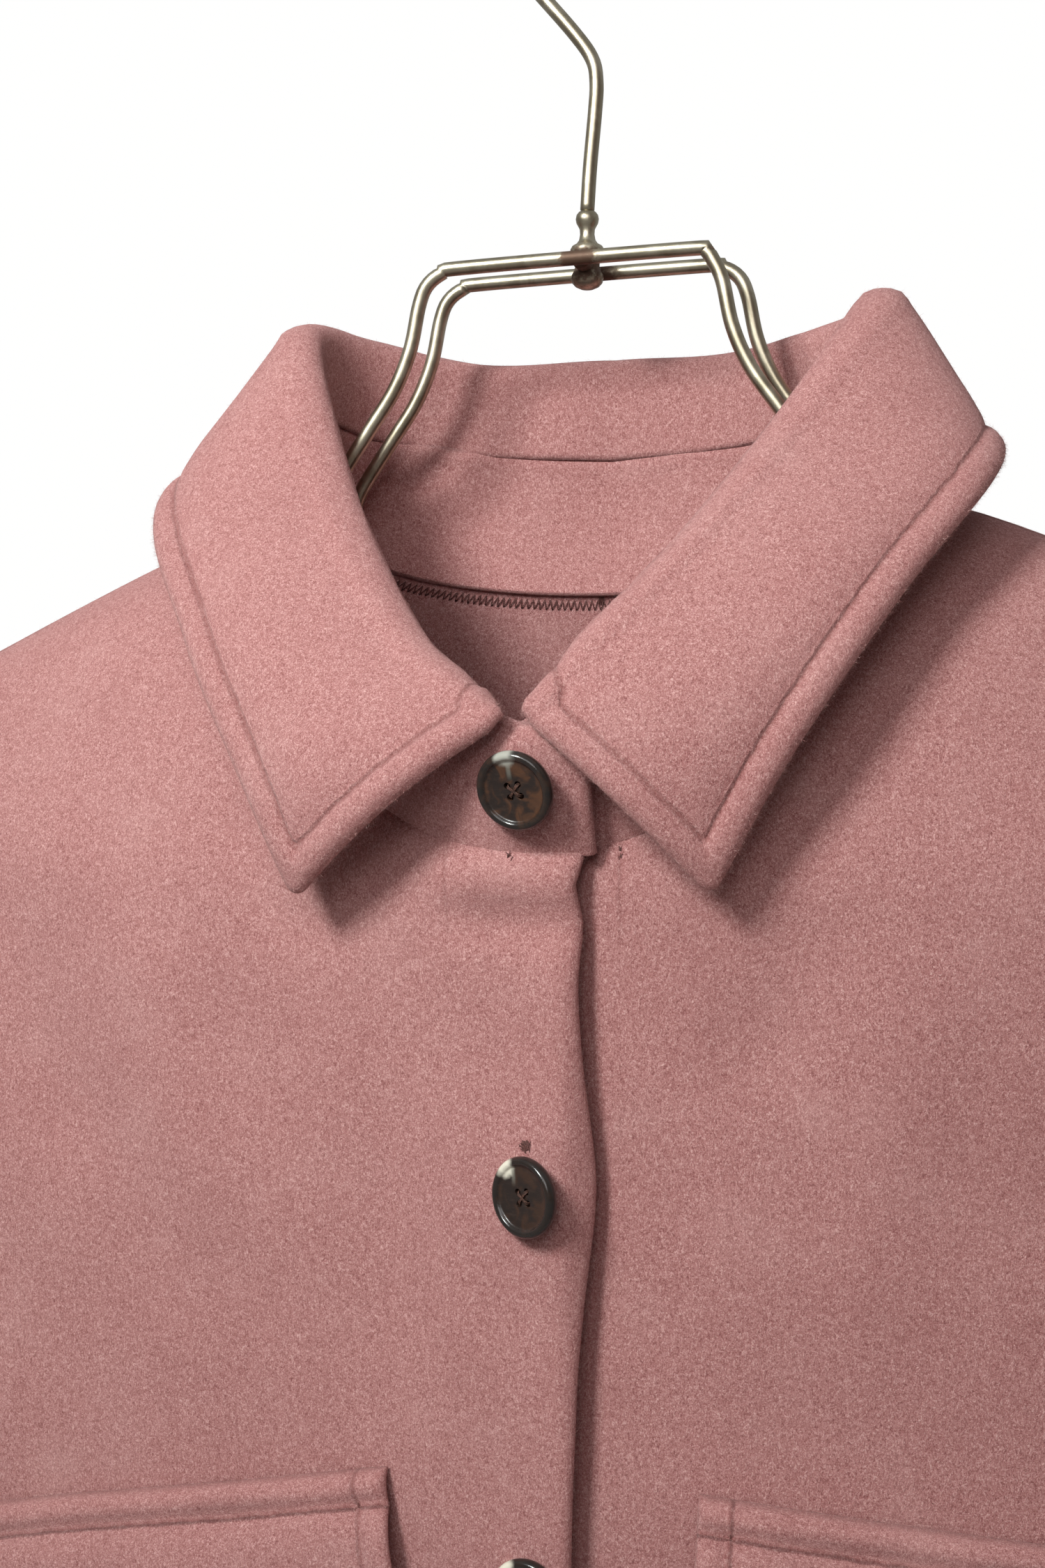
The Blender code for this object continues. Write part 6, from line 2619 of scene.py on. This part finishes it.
@dataclass(frozen=True)
class Studio:
    """Camera, lights and floor."""

    camera_at: tuple[float, float, float] = (0.138, -0.584, -0.257)
    camera_turn: float = 15.0
    lens: float = 50.0
    floor_z: float = -1.02
    near: float = 0.13
    far: float = 0.38
    warm: Colour = (1.0, 0.72, 0.64, 1.0)
    white: Colour = (1.0, 1.0, 0.995, 1.0)

    def build(self) -> None:
        """Sets up the whole studio."""
        self._camera()
        self._world()
        self._lights()
        self._floor()
        bpy.context.scene.view_settings.view_transform = "Standard"

    def _camera(self) -> None:
        """Places the camera at the photo's angle."""
        data = bpy.data.cameras.new("camera")
        data.lens = self.lens
        data.sensor_fit = "VERTICAL"
        data.sensor_height = 36.0
        data.clip_start = 0.02
        camera = bpy.data.objects.new("camera", data)
        camera.location = self.camera_at
        camera.rotation_euler = (math.radians(90.0), 0.0, math.radians(self.camera_turn))
        bpy.context.scene.collection.objects.link(camera)
        bpy.context.scene.camera = camera

    def _world(self) -> None:
        """A white surround: bright behind and above, dim and warm in front and below."""
        world = bpy.data.worlds.new("surround")
        bpy.context.scene.world = world
        world.use_nodes = True
        tree = world.node_tree
        tree.nodes.clear()
        output = tree.nodes.new("ShaderNodeOutputWorld")
        place = tree.nodes.new("ShaderNodeTexCoord")
        high = tree.nodes.new("ShaderNodeVectorMath")
        high.operation = "DOT_PRODUCT"
        high.inputs[1].default_value = (0.0, 0.80, 0.60)
        tree.links.new(place.outputs["Generated"], high.inputs[0])
        ramp = tree.nodes.new("ShaderNodeMapRange")
        ramp.interpolation_type = "SMOOTHSTEP"
        ramp.inputs["From Min"].default_value = -0.50
        ramp.inputs["From Max"].default_value = 0.60
        tree.links.new(high.outputs["Value"], ramp.inputs["Value"])
        seen = tree.nodes.new("ShaderNodeLightPath")
        ends = []
        for strength, colour in ((self.near, self.warm), (self.far, self.white),
                                 (1.0, self.white)):
            light = tree.nodes.new("ShaderNodeBackground")
            light.inputs["Color"].default_value = colour
            light.inputs["Strength"].default_value = strength
            ends.append(light)
        lit = tree.nodes.new("ShaderNodeMixShader")
        blend = tree.nodes.new("ShaderNodeMixShader")
        for mix, share, first, second in ((lit, ramp.outputs[0], ends[0], ends[1]),
                                          (blend, seen.outputs["Is Camera Ray"], lit, ends[2])):
            tree.links.new(share, mix.inputs[0])
            tree.links.new(first.outputs[0], mix.inputs[1])
            tree.links.new(second.outputs[0], mix.inputs[2])
        tree.links.new(blend.outputs[0], output.inputs[0])

    def _light(self, name: str, at: tuple[float, float, float],
               aim: tuple[float, float, float], size: float, power: float,
               spread_to: float, colour: tuple[float, float, float]) -> None:
        """Adds one soft light.

        Args:
            name: its name.
            at: where it stands.
            aim: what it faces.
            size: its width.
            power: its watts.
            spread_to: degrees that its light spreads over.
            colour: its colour.
        """
        data = bpy.data.lights.new(name, "AREA")
        data.spread = math.radians(spread_to)
        data.shape = "DISK"
        data.size = size
        data.energy = power
        data.color = colour
        light = bpy.data.objects.new(name, data)
        light.location = at
        way = Vector(aim) - Vector(at)
        light.rotation_euler = way.to_track_quat("-Z", "Y").to_euler()
        light.visible_camera = False
        bpy.context.scene.collection.objects.link(light)

    def _lights(self) -> None:
        """A key light high on the viewer's left, and a wide one from the front."""
        self._light("key", (-0.40, -0.94, 0.37), (-0.02, 0.0, -0.20), 0.34, 2.65, 72.0,
                    (0.96, 1.0, 0.985))
        self._light("front", (0.10, -1.30, 0.35), (-0.12, 0.0, -0.16), 0.80, 1.30, 80.0,
                    (1.0, 0.985, 0.985))

    def _floor(self) -> None:
        """A plain pale floor well below the hem."""
        g = Graph("floor")
        tone = g.noise(3.0, 2.0)
        seen = g.wire("ShaderNodeLightPath", out="Is Camera Ray")
        look = g.finish({"Base Color": g.mix(tone, (0.80, 0.80, 0.79, 1.0),
                                             (0.84, 0.84, 0.83, 1.0)), "Roughness": 0.7,
                         "Emission Color": g.mix(seen, (0.0, 0.0, 0.0, 1.0),
                                                 (0.50, 0.50, 0.495, 1.0)),
                         "Emission Strength": 1.0})
        size = 4.0
        corners = ((-size, -size), (size, -size), (size, size), (-size, size))
        verts = [(x, y, self.floor_z) for x, y in corners]
        new_object("floor", verts, ((0, 1, 2, 3),), look)


def main() -> None:
    """Builds the jacket, the hanger and the studio."""
    logging.basicConfig(level=logging.INFO, format="%(message)s")
    Jacket().build()
    Hanger().build()
    Studio().build()


if __name__ == "__main__":
    main()
